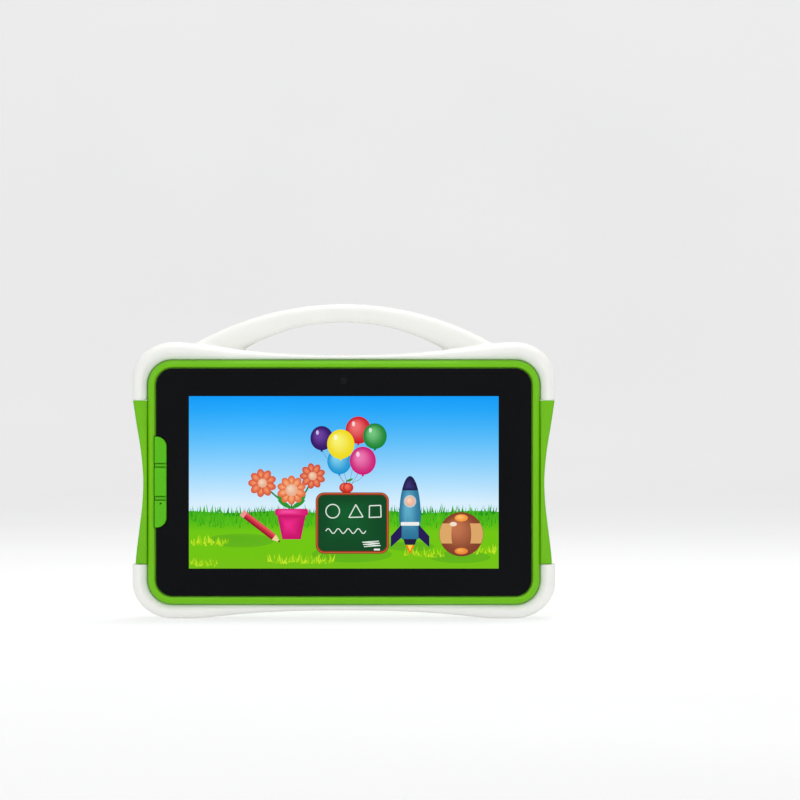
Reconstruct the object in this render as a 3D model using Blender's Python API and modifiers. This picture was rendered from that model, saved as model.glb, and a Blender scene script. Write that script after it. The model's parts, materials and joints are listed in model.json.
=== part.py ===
"""A children's seven-inch tablet in a two-colour bumper case with a carry handle and a round kickstand.

Metres, +Z up. The tablet stands on the feet of its bottom bumper: the screen faces -Y, +X is the
right-hand side of the screen, and the origin is the middle of the footprint.
"""

import math

import bmesh
import bpy
from mathutils import Matrix, Vector

COLLECTION = "kids_toy_tablet"
MM = 0.001
GAP = 0.3 * MM
SAME = 1e-6
OVERSHOOT = 1 * MM

# Outline of the case, seen from the front
HALF_WIDTH = 105.3 * MM
PANEL_W, PANEL_H, PANEL_R = 195.2 * MM, 121.5 * MM, 12.3 * MM
PANEL_Z = 67.9 * MM
GRIP_TOP, GRIP_BOTTOM = 108.85 * MM, 27.1 * MM
GRIP_TOP_X, GRIP_WAIST, GRIP_BOTTOM_X = 105.1 * MM, 99.9 * MM, 103.8 * MM
CREST_X, CREST_Z = 85.0 * MM, 137.85 * MM
BRIDGE_Z = 131.4 * MM
CORNER_RX, CORNER_RZ = 20.3 * MM, 18.05 * MM
FOOT_INNER_X = 76.0 * MM
BELLY_Z = 3.9 * MM

# Carry handle: two arcs that meet the top bumper
HANDLE_OUTER_R, HANDLE_OUTER_Z = 151.0 * MM, 5.95 * MM
HANDLE_INNER_R, HANDLE_INNER_Z = 99.6 * MM, 48.2 * MM
HANDLE_OUTER_X, HANDLE_INNER_X = 76.0 * MM, 52.5 * MM
HANDLE_Y0, HANDLE_Y1, HANDLE_ROUND = 1.0 * MM, 12.5 * MM, 3.6 * MM
ROOT_Z, ROOT_OVERLAP = 130.25 * MM, 3 * MM

# Depths, from the front (-Y) to the back
FRONT_Y = -11.0 * MM
BACK_Y = 9.5 * MM
SEAM_Y = -7.5 * MM
BAND_Y = 11.0 * MM
PAD_Y = 13.0 * MM
GRIP_Y = 10.4 * MM
WALL = 2.0 * MM
BAND_ROUND, GRIP_ROUND, BEZEL_ROUND, COVER_ROUND = 2.0 * MM, 1.5 * MM, 1.4 * MM, 2.0 * MM
COVER_W, COVER_R = PANEL_W - 0.6 * MM, PANEL_R - 0.5 * MM
SWELL_FROM, SWELL_OVER = 60 * MM, 22 * MM

# Screen
GLASS_W, GLASS_H, GLASS_R = 187.5 * MM, 114.0 * MM, 8.5 * MM
GLASS_FRONT, GLASS_BACK = -10.2 * MM, -9.3 * MM
LEDGE_W, LEDGE_H, LEDGE_R = 171.0 * MM, 106.0 * MM, 4.0 * MM
LEDGE_Y = -9.0 * MM
DISPLAY_W, DISPLAY_H, DISPLAY_Z = 164.9 * MM, 99.4 * MM, 65.2 * MM

# Key tab on the left border of the glass
TAB_X0, TAB_X1 = -94.2 * MM, -88.25 * MM
TAB_Z0, TAB_Z1, TAB_R = 45.3 * MM, 90.65 * MM, 5.0 * MM
TAB_X = (TAB_X0 + TAB_X1) / 2
KEY_FRONT, KEY_BACK = -12.2 * MM, -10.55 * MM
CARRIER_FRONT, CARRIER_BACK = -10.0 * MM, -8.6 * MM
VOLUME_Z0 = 77.4 * MM
POWER_Z0, POWER_Z1 = 61.0 * MM, 75.2 * MM
MIC_Z1 = 58.8 * MM
ROCKER_Z = (VOLUME_Z0 + TAB_Z1) / 2
ROCKER_Y = -10.3 * MM
ROCKER_STEM = 4.0 * MM
STEM_END, SWITCH_FRONT, SWITCH_BACK = -7.9 * MM, -7.35 * MM, -6.4 * MM
PINHOLE_X, PINHOLE_Z, PINHOLE_R = -91.1 * MM, 57.35 * MM, 0.4 * MM
KEY_CORNER, KEY_ROUND = 0.6 * MM, 0.5 * MM
STEM_R, GUIDE_R, SWITCH_HALF = 0.9 * MM, 1.3 * MM, 1.7

# Kickstand on the back
STAND_Z = 97.3 * MM
POCKET_R, COLLAR_TOP_R, COLLAR_R = 19.1 * MM, 20.2 * MM, 22.6 * MM
COLLAR_Y = 11.2 * MM
POCKET_FLOOR, POCKET_WALL, POCKET_BASE = 4.9 * MM, 1.6 * MM, 1.5 * MM
FLAP_Y0, FLAP_Y1 = 7.0 * MM, 9.6 * MM
HINGE_Y, HINGE_Z = 9.42 * MM, 112.6 * MM
KNUCKLE_R, KNUCKLE_X0, KNUCKLE_X1 = 1.15 * MM, 7.0 * MM, 10.3 * MM
PIN_R, PIN_X0, PIN_X1 = 0.6 * MM, 8.0 * MM, 15.0 * MM
PRESS_FIT, RUNNING_FIT = 0.1 * MM, 0.08 * MM
NOTCH_X, NOTCH_DROP = 13.4 * MM, 2.2 * MM
RIM_ROUND, COLLAR_CHAMFER = 0.8 * MM, 0.4 * MM
SLOT_W, SLOT_H, SLOT_Z = 16.0 * MM, 2.8 * MM, 82.6 * MM

# Back panel features
SCREW_X, SCREW_TOP_Z, SCREW_BOTTOM_Z = 90.2 * MM, 116.1 * MM, 19.7 * MM
HEAD_R, SHANK_R, RECESS_R, SEAT_R, PILOT_R = 1.75 * MM, 0.9 * MM, 0.8 * MM, 2.1 * MM, 1.2 * MM
BEZEL_BOSS_R, COVER_BOSS_R, SHANK_END = 2.6 * MM, 3.0 * MM, -6.5 * MM
HEAD_SINK, HEAD_THICK, SEAT_DEPTH, RECESS_DEPTH = 0.3 * MM, 1.2 * MM, 1.8 * MM, 0.9 * MM
SPEAKER_X, SPEAKER_Z = 73.0 * MM, 108.3 * MM
GRILLE_RINGS, GRILLE_HOLE_R = ((2.65 * MM, 6), (6.2 * MM, 12)), 0.55 * MM
THROUGH_BACK = (6 * MM, 11 * MM)
CAMERA_X, CAMERA_Z, CAMERA_R = -77.3 * MM, 115.9 * MM, 4.1 * MM
FLASH_X, FLASH_Z, FLASH_W, FLASH_H = -67.0 * MM, 115.4 * MM, 3.0 * MM, 4.7 * MM

# Ports in the left wall: name, middle height, length and thickness of the opening
PORTS = (
    ("usb_port", 74.0 * MM, 8.4 * MM, 3.2 * MM),
    ("audio_jack", 63.5 * MM, 4.2 * MM, 4.2 * MM),
    ("card_slot", 52.5 * MM, 12.0 * MM, 1.8 * MM),
)
PORT_WINDOW_Z0, PORT_WINDOW_Z1, PORT_WINDOW_Y = 45.6 * MM, 84.6 * MM, -3.6 * MM
SOCKET_X, SOCKET_DEPTH, JACK_DEPTH, SOCKET_WALL, JACK_R = -94.9, 5.9, 8.9, 0.8, 1.8 * MM

GREEN = (0.13, 0.46, 0.004)
WHITE = (0.86, 0.86, 0.84)
BLACK = (0.01, 0.011, 0.014)


# ---------------------------------------------------------------- scene and materials


def fresh_scene():
    for obj in list(bpy.data.objects):
        bpy.data.objects.remove(obj, do_unlink=True)
    made = []
    for name in (COLLECTION, "cutters"):
        collection = bpy.data.collections.new(name)
        bpy.context.scene.collection.children.link(collection)
        made.append(collection)
    return made


def material(name, colour, roughness=0.5, metallic=0.0):
    found = bpy.data.materials.get(name) or bpy.data.materials.new(name)
    found.use_nodes = True
    shader = found.node_tree.nodes["Principled BSDF"]
    shader.inputs["Base Color"].default_value = (*colour, 1.0)
    shader.inputs["Roughness"].default_value = roughness
    shader.inputs["Metallic"].default_value = metallic
    return found


# ---------------------------------------------------------------- outlines, as (x, z) points


def arc(cx, cz, rx, rz, start, end, steps):
    """Points of an elliptical arc. The angles are in degrees, from +X towards +Z."""
    turns = [math.radians(start + (end - start) * i / steps) for i in range(steps + 1)]
    return [(cx + rx * math.cos(a), cz + rz * math.sin(a)) for a in turns]


def bezier(p0, p1, p2, p3, steps):
    points = []
    for i in range(steps + 1):
        t = i / steps
        weights = ((1 - t) ** 3, 3 * t * (1 - t) ** 2, 3 * t * t * (1 - t), t**3)
        points.append(tuple(sum(w * p[k] for w, p in zip(weights, (p0, p1, p2, p3))) for k in (0, 1)))
    return points


def rounded(width, height, radius, cx=0.0, cz=0.0, steps=5):
    """A rounded rectangle, starting at its right side's top and going anticlockwise."""
    points = []
    for sx, sz, start in ((1, 1, 0), (-1, 1, 90), (-1, -1, 180), (1, -1, 270)):
        x, z = cx + sx * (width / 2 - radius), cz + sz * (height / 2 - radius)
        points += arc(x, z, radius, radius, start, start + 90, steps)
    return points


def circle(radius, cx=0.0, cz=0.0, steps=40):
    return arc(cx, cz, radius, radius, 0, 360, steps)[:-1]


def tab_outline(grow, z0=TAB_Z0, z1=TAB_Z1):
    """The D of the key tab: square on its left, round at its right corners where they are its own ends."""
    low = TAB_R if z0 == TAB_Z0 else KEY_CORNER
    high = TAB_R if z1 == TAB_Z1 else KEY_CORNER
    x0, x1, z0, z1 = TAB_X0 - grow, TAB_X1 + grow, z0 - grow, z1 + grow
    bottom = arc(x1 - low, z0 + low, low, low, 270, 360, 5)
    top = arc(x1 - high, z1 - high, high, high, 0, 90, 5)
    return [(x0, z0), *bottom, *top, (x0, z1)]


def top_band_outline():
    """The top bumper: its crest over each corner, and the panel's rounded corners inside."""
    bridge = bezier((0, BRIDGE_Z), (55 * MM, BRIDGE_Z), (70 * MM, CREST_Z), (CREST_X, CREST_Z), 8)
    corner = arc(CREST_X, CREST_Z - CORNER_RZ, CORNER_RX, CORNER_RZ, 90, 0, 8)
    inner_r = PANEL_R + GAP
    cx, cz = PANEL_W / 2 - PANEL_R, PANEL_Z + PANEL_H / 2 - PANEL_R
    inner = arc(cx, cz, inner_r, inner_r, 0, 90, 6)
    end = [(HALF_WIDTH, GRIP_TOP + GAP / 2), (cx + inner_r, GRIP_TOP + GAP / 2)]
    outer = bridge[1:] + corner[1:] + end + inner
    return [bridge[0]] + outer + [(-x, z) for x, z in reversed(outer)]


def bottom_band_outline():
    """The bottom bumper: a foot under each corner, arched up between them."""
    belly = bezier((0, BELLY_Z), (50 * MM, BELLY_Z), (64 * MM, 0), (FOOT_INNER_X, 0), 6)
    corner = arc(CREST_X, CORNER_RZ, CORNER_RX, CORNER_RZ, 270, 360, 8)
    inner_r = PANEL_R + GAP
    cx, cz = PANEL_W / 2 - PANEL_R, PANEL_Z - PANEL_H / 2 + PANEL_R
    inner = arc(cx, cz, inner_r, inner_r, 360, 270, 6)
    end = [(HALF_WIDTH, GRIP_BOTTOM - GAP / 2), (cx + inner_r, GRIP_BOTTOM - GAP / 2)]
    outer = belly[1:] + corner + end + inner
    return [belly[0]] + outer + [(-x, z) for x, z in reversed(outer)]


def grip_outline(side):
    """A side grip: straight against the panel, waisted outside. side is 1 on the right, -1 on the left."""
    top, bottom = GRIP_TOP - GAP / 2, GRIP_BOTTOM + GAP / 2
    waist = (GRIP_WAIST, PANEL_Z)
    upper = bezier((GRIP_TOP_X, top), (102.8 * MM, 96 * MM), (GRIP_WAIST, 84 * MM), waist, 6)
    lower = bezier(waist, (GRIP_WAIST, 54 * MM), (101.8 * MM, 40 * MM), (GRIP_BOTTOM_X, bottom), 6)
    inner_x = PANEL_W / 2 + GAP
    outline = [(inner_x, top), *upper, *lower[1:], (inner_x, bottom)]
    return [(side * x, z) for x, z in outline]


def handle_outline():
    """The carry handle's crescent, with both roots inside the top bumper."""
    spread = math.degrees(math.asin(HANDLE_OUTER_X / HANDLE_OUTER_R))
    outer = arc(0, HANDLE_OUTER_Z, HANDLE_OUTER_R, HANDLE_OUTER_R, 90 - spread, 90 + spread, 20)
    spread = math.degrees(math.asin(HANDLE_INNER_X / HANDLE_INNER_R))
    inner = arc(0, HANDLE_INNER_Z, HANDLE_INNER_R, HANDLE_INNER_R, 90 + spread, 90 - spread, 18)
    left_root = [(-HANDLE_OUTER_X, ROOT_Z), (-HANDLE_INNER_X - ROOT_OVERLAP, ROOT_Z)]
    right_root = [(HANDLE_INNER_X + ROOT_OVERLAP, ROOT_Z), (HANDLE_OUTER_X, ROOT_Z)]
    return outer + left_root + inner + right_root


# ---------------------------------------------------------------- solids


def link(name, mesh, look, place=(0, 0, 0)):
    """Puts a mesh into the collection as an object whose origin is at place."""
    mesh.transform(Matrix.Translation(-Vector(place)))
    obj = bpy.data.objects.new(name, mesh)
    obj.location = place
    if look is None:
        obj.hide_render = True
        obj.display_type = "WIRE"
        cutters.objects.link(obj)
    else:
        mesh.materials.append(look)
        parts.objects.link(obj)
    mesh.shade_smooth()
    mesh.set_sharp_from_angle(angle=math.radians(35))
    return obj


def prism(name, look, outlines, y0, y1, place=(0, 0, 0), edge=0.0, chooser=None, swell=None):
    """A plate cut to (x, z) outlines, from y0 to y1. The rim edges that chooser picks are rounded."""
    curve = bpy.data.curves.new(name, "CURVE")
    curve.dimensions = "2D"
    curve.fill_mode = "BOTH"
    curve.extrude = abs(y1 - y0) / 2
    for outline in outlines:
        spline = curve.splines.new("POLY")
        spline.points.add(len(outline) - 1)
        for point, (x, z) in zip(spline.points, outline):
            point.co = (x, z, 0, 1)
        spline.use_cyclic_u = True
    flat = bpy.data.objects.new(name + "_outline", curve)
    parts.objects.link(flat)
    mesh = bpy.data.meshes.new_from_object(flat.evaluated_get(bpy.context.evaluated_depsgraph_get()))
    bpy.data.objects.remove(flat)
    mesh.name = name
    mesh.transform(Matrix.Translation((0, (y0 + y1) / 2, 0)) @ Matrix.Rotation(math.pi / 2, 4, "X"))
    shape = bmesh.new()
    shape.from_mesh(mesh)
    bmesh.ops.remove_doubles(shape, verts=shape.verts, dist=SAME)
    bmesh.ops.dissolve_limit(shape, angle_limit=math.radians(0.5), verts=shape.verts, edges=shape.edges)
    if edge:
        rim = [e for e in shape.edges if is_rim(e, y0, y1) and (chooser is None or chooser(e))]
        bmesh.ops.bevel(shape, geom=rim, offset=edge, segments=3, profile=0.5, affect="EDGES")
    if swell:
        bmesh.ops.triangulate(shape, faces=shape.faces)
        for vertex in shape.verts:
            vertex.co.y *= swell(vertex.co.x)
    bmesh.ops.recalc_face_normals(shape, faces=shape.faces)
    shape.to_mesh(mesh)
    shape.free()
    return link(name, mesh, look, place)


def is_rim(edge, y0, y1):
    a, b = (v.co.y for v in edge.verts)
    return abs(a - b) < SAME and min(abs(a - y0), abs(a - y1)) < SAME


def block(name, look, low, high, edge=0.0, place=(0, 0, 0)):
    """A box between two corners given in millimetres."""
    mesh = bpy.data.meshes.new(name)
    shape = bmesh.new()
    bmesh.ops.create_cube(shape, size=1.0)
    low, high = Vector(low) * MM, Vector(high) * MM
    size = high - low
    bmesh.ops.scale(shape, vec=size, verts=shape.verts)
    bmesh.ops.translate(shape, vec=(low + high) / 2, verts=shape.verts)
    if edge:
        bmesh.ops.bevel(shape, geom=shape.edges[:], offset=edge, segments=2, profile=0.5, affect="EDGES")
    shape.to_mesh(mesh)
    shape.free()
    return link(name, mesh, look, place)


def rod(name, look, axis, radius, start, end, at, sides=12, end_radius=None):
    """A cylinder or cone along axis X or Y, from start to end. at is its place on the other two axes."""
    mesh = bpy.data.meshes.new(name)
    shape = bmesh.new()
    top = radius if end_radius is None else end_radius
    bmesh.ops.create_cone(
        shape, cap_ends=True, segments=sides, radius1=radius, radius2=top, depth=end - start
    )
    mid = (start + end) / 2
    if axis == "X":
        frame = Matrix.Translation((mid, at[0], at[1])) @ Matrix.Rotation(math.pi / 2, 4, "Y")
    else:
        frame = Matrix.Translation((at[0], mid, at[1])) @ Matrix.Rotation(-math.pi / 2, 4, "X")
    bmesh.ops.transform(shape, matrix=frame, verts=shape.verts)
    shape.to_mesh(mesh)
    shape.free()
    return link(name, mesh, look)


def turned(name, look, profile, x, z, steps=32):
    """A ring or disc turned about an axis along Y. The profile's (radius, y) points, in millimetres, run
    down its outer side."""
    mesh = bpy.data.meshes.new(name)
    count = len(profile)
    edges = [(i, (i + 1) % count) for i in range(count)]
    mesh.from_pydata([(r * MM, 0, y * MM) for r, y in profile], edges, [])
    obj = link(name, mesh, look, (0, 0, 0))
    obj.location = (x, 0, z)
    obj.rotation_euler = (-math.pi / 2, 0, 0)
    screw = obj.modifiers.new("turn", "SCREW")
    screw.steps = screw.render_steps = steps
    screw.use_merge_vertices = True
    screw.merge_threshold = 1e-5
    return obj


def combine(target, tool, operation):
    change = target.modifiers.new(tool.name, "BOOLEAN")
    change.operation = operation
    change.solver = "EXACT"
    change.object = tool


def cut(target, *tools):
    for tool in tools:
        combine(target, tool, "DIFFERENCE")


def add(target, *tools):
    for tool in tools:
        combine(target, tool, "UNION")


# ---------------------------------------------------------------- case


def swell(x):
    """The bumpers are deeper over the corners, so that they meet a table before the screen or back does."""
    t = min(max((abs(x) - SWELL_FROM) / SWELL_OVER, 0), 1)
    return 1 + (PAD_Y / BAND_Y - 1) * t * t * (3 - 2 * t)


def off_panel(edge):
    """True for a rim edge on the outside of a bumper, and false for one against the panel or at an end."""
    middle = (edge.verts[0].co + edge.verts[1].co) / 2
    dx = abs(middle.x) - (PANEL_W / 2 - PANEL_R)
    dz = abs(middle.z - PANEL_Z) - (PANEL_H / 2 - PANEL_R)
    distance = math.hypot(max(dx, 0), max(dz, 0)) + min(max(dx, dz), 0)
    level = abs(edge.verts[0].co.z - edge.verts[1].co.z) < SAME
    at_end = level and GRIP_BOTTOM - GAP < middle.z < GRIP_TOP + GAP
    return distance > PANEL_R + 2 * GAP and not at_end


def make_bumpers(white):
    def band(name, outline):
        return prism(name, white, [outline], -BAND_Y, BAND_Y, (0, 0, 0), BAND_ROUND, off_panel, swell)

    top = band("top_bumper", top_band_outline())
    handle = prism("handle_body", None, [handle_outline()], HANDLE_Y0, HANDLE_Y1, edge=HANDLE_ROUND)
    add(top, handle)
    band("bottom_bumper", bottom_band_outline())


def make_grips(green):
    def outer(edge):
        level = abs(edge.verts[0].co.z - edge.verts[1].co.z) < SAME
        return min(abs(v.co.x) for v in edge.verts) > GRIP_WAIST - OVERSHOOT and not level

    prism("right_grip", green, [grip_outline(1)], -GRIP_Y, GRIP_Y, edge=GRIP_ROUND, chooser=outer)
    left = prism("left_grip", green, [grip_outline(-1)], -GRIP_Y, GRIP_Y, edge=GRIP_ROUND, chooser=outer)
    window = block(
        "port_window",
        None,
        (-108, PORT_WINDOW_Y / MM, PORT_WINDOW_Z0 / MM),
        (-95, 12, PORT_WINDOW_Z1 / MM),
    )
    cut(left, window)


def screw_places():
    for side, sx in (("left", -1), ("right", 1)):
        for end, z in (("top", SCREW_TOP_Z), ("bottom", SCREW_BOTTOM_Z)):
            yield f"{end}_{side}", sx * SCREW_X, z


def make_bezel(green):
    outline = rounded(PANEL_W, PANEL_H, PANEL_R, 0, PANEL_Z)

    def front(edge):
        return edge.verts[0].co.y < FRONT_Y + SAME

    bezel = prism("front_bezel", green, [outline], FRONT_Y, SEAM_Y, edge=BEZEL_ROUND, chooser=front)
    window = rounded(GLASS_W, GLASS_H, GLASS_R, 0, PANEL_Z)
    ledge = rounded(LEDGE_W, LEDGE_H, LEDGE_R, 0, PANEL_Z, steps=2)
    tab_hole = prism("tab_hole", None, [tab_outline(GAP)], FRONT_Y - OVERSHOOT, SEAM_Y + OVERSHOOT)
    for name, x, z in screw_places():
        add(bezel, rod("bezel_boss_" + name, None, "Y", BEZEL_BOSS_R, SEAM_Y - 1 * MM, -GAP, (x, z)))
        cut(bezel, rod("bezel_pilot_" + name, None, "Y", PILOT_R, SEAM_Y - 1.2 * MM, 0, (x, z), sides=8))
    cut(
        bezel,
        prism("glass_seat", None, [window], FRONT_Y - OVERSHOOT, LEDGE_Y),
        prism("ledge_window", None, [ledge], FRONT_Y - OVERSHOOT, SEAM_Y + OVERSHOOT),
        tab_hole,
    )
    return tab_hole


def make_rear_cover(green):
    outline = rounded(COVER_W, PANEL_H, COVER_R, 0, PANEL_Z)

    def rear(edge):
        return edge.verts[0].co.y > BACK_Y - SAME

    cover = prism("rear_cover", green, [outline], SEAM_Y + GAP, BACK_Y, edge=COVER_ROUND, chooser=rear)
    inside = rounded(COVER_W - 2 * WALL, PANEL_H - 2 * WALL, COVER_R - WALL, 0, PANEL_Z)
    cut(cover, prism("cover_inside", None, [inside], SEAM_Y - OVERSHOOT, BACK_Y - WALL))

    at = (0, STAND_Z)
    base = POCKET_FLOOR - POCKET_BASE
    add(
        cover,
        rod("stand_boss", None, "Y", POCKET_R + POCKET_WALL, base, BACK_Y - 0.5 * MM, at, 40),
        rod("collar", None, "Y", COLLAR_R, BACK_Y - 0.6 * MM, COLLAR_Y, at, 40, COLLAR_TOP_R),
    )
    above = COLLAR_Y + OVERSHOOT
    wide = POCKET_R + COLLAR_CHAMFER + OVERSHOOT
    cut(
        cover,
        rod("stand_pocket", None, "Y", POCKET_R, POCKET_FLOOR, above, at, 40),
        rod("collar_chamfer", None, "Y", POCKET_R, COLLAR_Y - COLLAR_CHAMFER, above, at, 40, wide),
    )
    for side, sx in (("left", -1), ("right", 1)):
        reach = sorted((sx * (KNUCKLE_X0 - GAP) / MM, sx * NOTCH_X / MM))
        low = (reach[0], FLAP_Y0 / MM, (HINGE_Z - NOTCH_DROP) / MM)
        high = (reach[1], 13, (HINGE_Z + KNUCKLE_R + GAP) / MM)
        cut(cover, block("knuckle_notch_" + side, None, low, high))
        reach = sorted((sx * (PIN_X0 - 2 * MM), sx * (PIN_X1 + GAP)))
        hole = rod("pin_hole_" + side, None, "X", PIN_R + PRESS_FIT, *reach, (HINGE_Y, HINGE_Z), 12)
        cut(cover, hole)

    for name, x, z in screw_places():
        above = BACK_Y + OVERSHOOT
        add(cover, rod("cover_boss_" + name, None, "Y", COVER_BOSS_R, 0, BACK_Y - 1 * MM, (x, z)))
        cut(
            cover,
            rod("screw_hole_" + name, None, "Y", PILOT_R, -OVERSHOOT, above, (x, z), 8),
            rod("screw_seat_" + name, None, "Y", SEAT_R, BACK_Y - SEAT_DEPTH, above, (x, z)),
        )

    cut(cover, rod("camera_hole", None, "Y", CAMERA_R + GAP, *THROUGH_BACK, (CAMERA_X, CAMERA_Z), 24))
    flash_hole = rounded(FLASH_W + 2 * GAP, FLASH_H + 2 * GAP, FLASH_W / 2, FLASH_X, FLASH_Z, steps=3)
    cut(cover, prism("flash_hole", None, [flash_hole], *THROUGH_BACK))
    for ring, (radius, count) in enumerate(GRILLE_RINGS):
        for i in range(count):
            angle = 2 * math.pi * i / count
            at = (SPEAKER_X + radius * math.cos(angle), SPEAKER_Z + radius * math.sin(angle))
            cut(cover, rod(f"grille_{ring}_{i}", None, "Y", GRILLE_HOLE_R, *THROUGH_BACK, at, 6))
    for name, z, length, thick in PORTS:
        low = (-99, -thick / 2 / MM, (z - length / 2) / MM)
        high = (-94, thick / 2 / MM, (z + length / 2) / MM)
        cut(cover, block(name + "_opening", None, low, high))


def make_screws(steel):
    for name, x, z in screw_places():
        top = BACK_Y - HEAD_SINK
        screw = rod("cover_screw_" + name, steel, "Y", HEAD_R, top - HEAD_THICK, top, (x, z), 16)
        shank = rod("shank_" + name, None, "Y", SHANK_R, SHANK_END, BACK_Y - 1 * MM, (x, z), 8)
        recess = rod("recess_" + name, None, "Y", RECESS_R, BACK_Y - RECESS_DEPTH, BACK_Y, (x, z), 6)
        add(screw, shank)
        cut(screw, recess)


# ---------------------------------------------------------------- screen


def make_screen(tab_hole):
    glass = prism(
        "touch_glass",
        material("touch_glass", BLACK, 0.08),
        [rounded(GLASS_W - 2 * GAP, GLASS_H - 2 * GAP, GLASS_R - GAP, 0, PANEL_Z)],
        GLASS_FRONT,
        GLASS_BACK,
    )
    cut(glass, tab_hole)
    half_w, z = DISPLAY_W / 2 / MM, DISPLAY_Z / MM
    half_h = DISPLAY_H / 2 / MM
    cell = material("display_cell", (0.03, 0.22, 0.75), 0.3)
    block("display_panel", cell, (-half_w, -9.0, z - half_h), (half_w, -7.6, z + half_h))
    tray = material("tray_metal", (0.6, 0.6, 0.62), 0.35, 1.0)
    block("backlight_tray", tray, (-half_w, -7.3, z - half_h), (half_w, -5.0, z + half_h), 0.4 * MM)
    flex = material("flex", (0.45, 0.16, 0.02), 0.4)
    block("display_flex", flex, (-15, -3.2, 71), (15, -2.9, 92))
    block("touch_flex", flex, (-78, -3.2, 60), (-66, -2.9, 100))


# ---------------------------------------------------------------- electronics


def make_chassis(metal):
    plate = rounded(172 * MM, 112 * MM, 6 * MM, 0, PANEL_Z, steps=3)
    holes = [rounded(26 * MM, 34 * MM, 4 * MM, x * MM, z * MM, steps=3) for x in (-60, 60) for z in (38, 98)]
    prism("chassis", metal, [plate, *holes], -4.7 * MM, -3.5 * MM)


def make_boards():
    board = material("circuit_board", (0.01, 0.12, 0.05), 0.45)
    outline = rounded(120 * MM, 42 * MM, 2 * MM, 0, 97 * MM, 2)
    main = prism("main_board", board, [outline], -2.3 * MM, -1.1 * MM)
    for x in (-56, 56):
        for z in (80, 114):
            cut(main, rod(f"board_hole_{x}_{z}", None, "Y", 1.2 * MM, -3 * MM, 0, (x * MM, z * MM), 8))
    tin = material("tin", (0.7, 0.7, 0.72), 0.3, 1.0)
    block("shield_can", tin, (-48, -0.8, 84), (-24, 1.4, 108), 0.4 * MM)
    wrap = material("battery_wrap", (0.5, 0.52, 0.55), 0.4)
    block("battery", wrap, (-50, -3.1, 12.5), (50, 1.1, 68), 1.2 * MM)
    film = material("antenna_film", (0.7, 0.45, 0.12), 0.35, 0.6)
    block("antenna", film, (22, -3.2, 119), (62, -2.9, 125))
    block("key_board", board, (-94.6, -6.1, 52), (-87.2, -5.3, 91))


def make_speaker():
    foam = material("foam", (0.02, 0.02, 0.02), 0.95)
    driver = [(0, 6.4), (9.4, 6.4), (10.0, 5.9), (9.6, 4.4), (7.0, 3.9), (6.6, 2.2), (0, 2.2)]
    gasket = [(9.0, 7.2), (11.4, 7.2), (11.4, 6.7), (9.0, 6.7)]
    turned("speaker_driver", foam, driver, SPEAKER_X, SPEAKER_Z, 24)
    turned("speaker_gasket", foam, gasket, SPEAKER_X, SPEAKER_Z, 24)


def make_cameras():
    black = material("camera_black", BLACK, 0.3)
    lens = material("lens_glass", (0.02, 0.02, 0.03), 0.03)
    x, z = CAMERA_X / MM, CAMERA_Z / MM
    block("rear_camera_module", black, (x - 4.3, 0.6, z - 4.3), (x + 4.3, 6.4, z + 4.3), 0.3 * MM)
    ring = [(3.0, 9.9), (3.8, 9.9), (4.1, 9.6), (4.1, 6.9), (2.2, 6.9), (2.2, 8.4), (3.0, 8.4)]
    turned("rear_camera_ring", black, ring, CAMERA_X, CAMERA_Z, 24)
    rod("rear_camera_lens", lens, "Y", 2.7 * MM, 8.7 * MM, 9.6 * MM, (CAMERA_X, CAMERA_Z), 24)
    block("front_camera", black, (-3.2, -8.9, 116.3), (3.2, -5.0, 120.6), 0.3 * MM)
    window = rounded(FLASH_W, FLASH_H, FLASH_W / 2 - 0.01 * MM, FLASH_X, FLASH_Z, steps=4)
    prism("flash_lens", material("flash_lens", (0.8, 0.8, 0.78), 0.2), [window], 7.9 * MM, 9.7 * MM)
    x, z = FLASH_X / MM, FLASH_Z / MM
    led = material("flash_led", (0.8, 0.7, 0.2), 0.4)
    block("flash_led", led, (x - 1.2, 6.2, z - 1.2), (x + 1.2, 7.5, z + 1.2))


def make_ports():
    shell = material("port_shell", (0.5, 0.5, 0.52), 0.3, 1.0)
    for name, z, length, thick in PORTS:
        depth = JACK_DEPTH if name == "audio_jack" else SOCKET_DEPTH
        half_thick, half_length = thick / 2 / MM, length / 2 / MM
        low = (SOCKET_X, -half_thick - SOCKET_WALL, z / MM - half_length - SOCKET_WALL)
        high = (SOCKET_X + depth, half_thick + SOCKET_WALL, z / MM + half_length + SOCKET_WALL)
        socket = block(name, shell, low, high)
        if name == "audio_jack":
            mouth = rod("jack_mouth", None, "X", JACK_R, -96 * MM, -87 * MM, (0, z), 12)
        else:
            slack = GAP / MM
            low = (SOCKET_X - 1, slack - half_thick, z / MM - half_length + slack)
            high = (SOCKET_X + depth - 1, half_thick - slack, z / MM + half_length - slack)
            mouth = block(name + "_mouth", None, low, high)
        cut(socket, mouth)


# ---------------------------------------------------------------- keys


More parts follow.
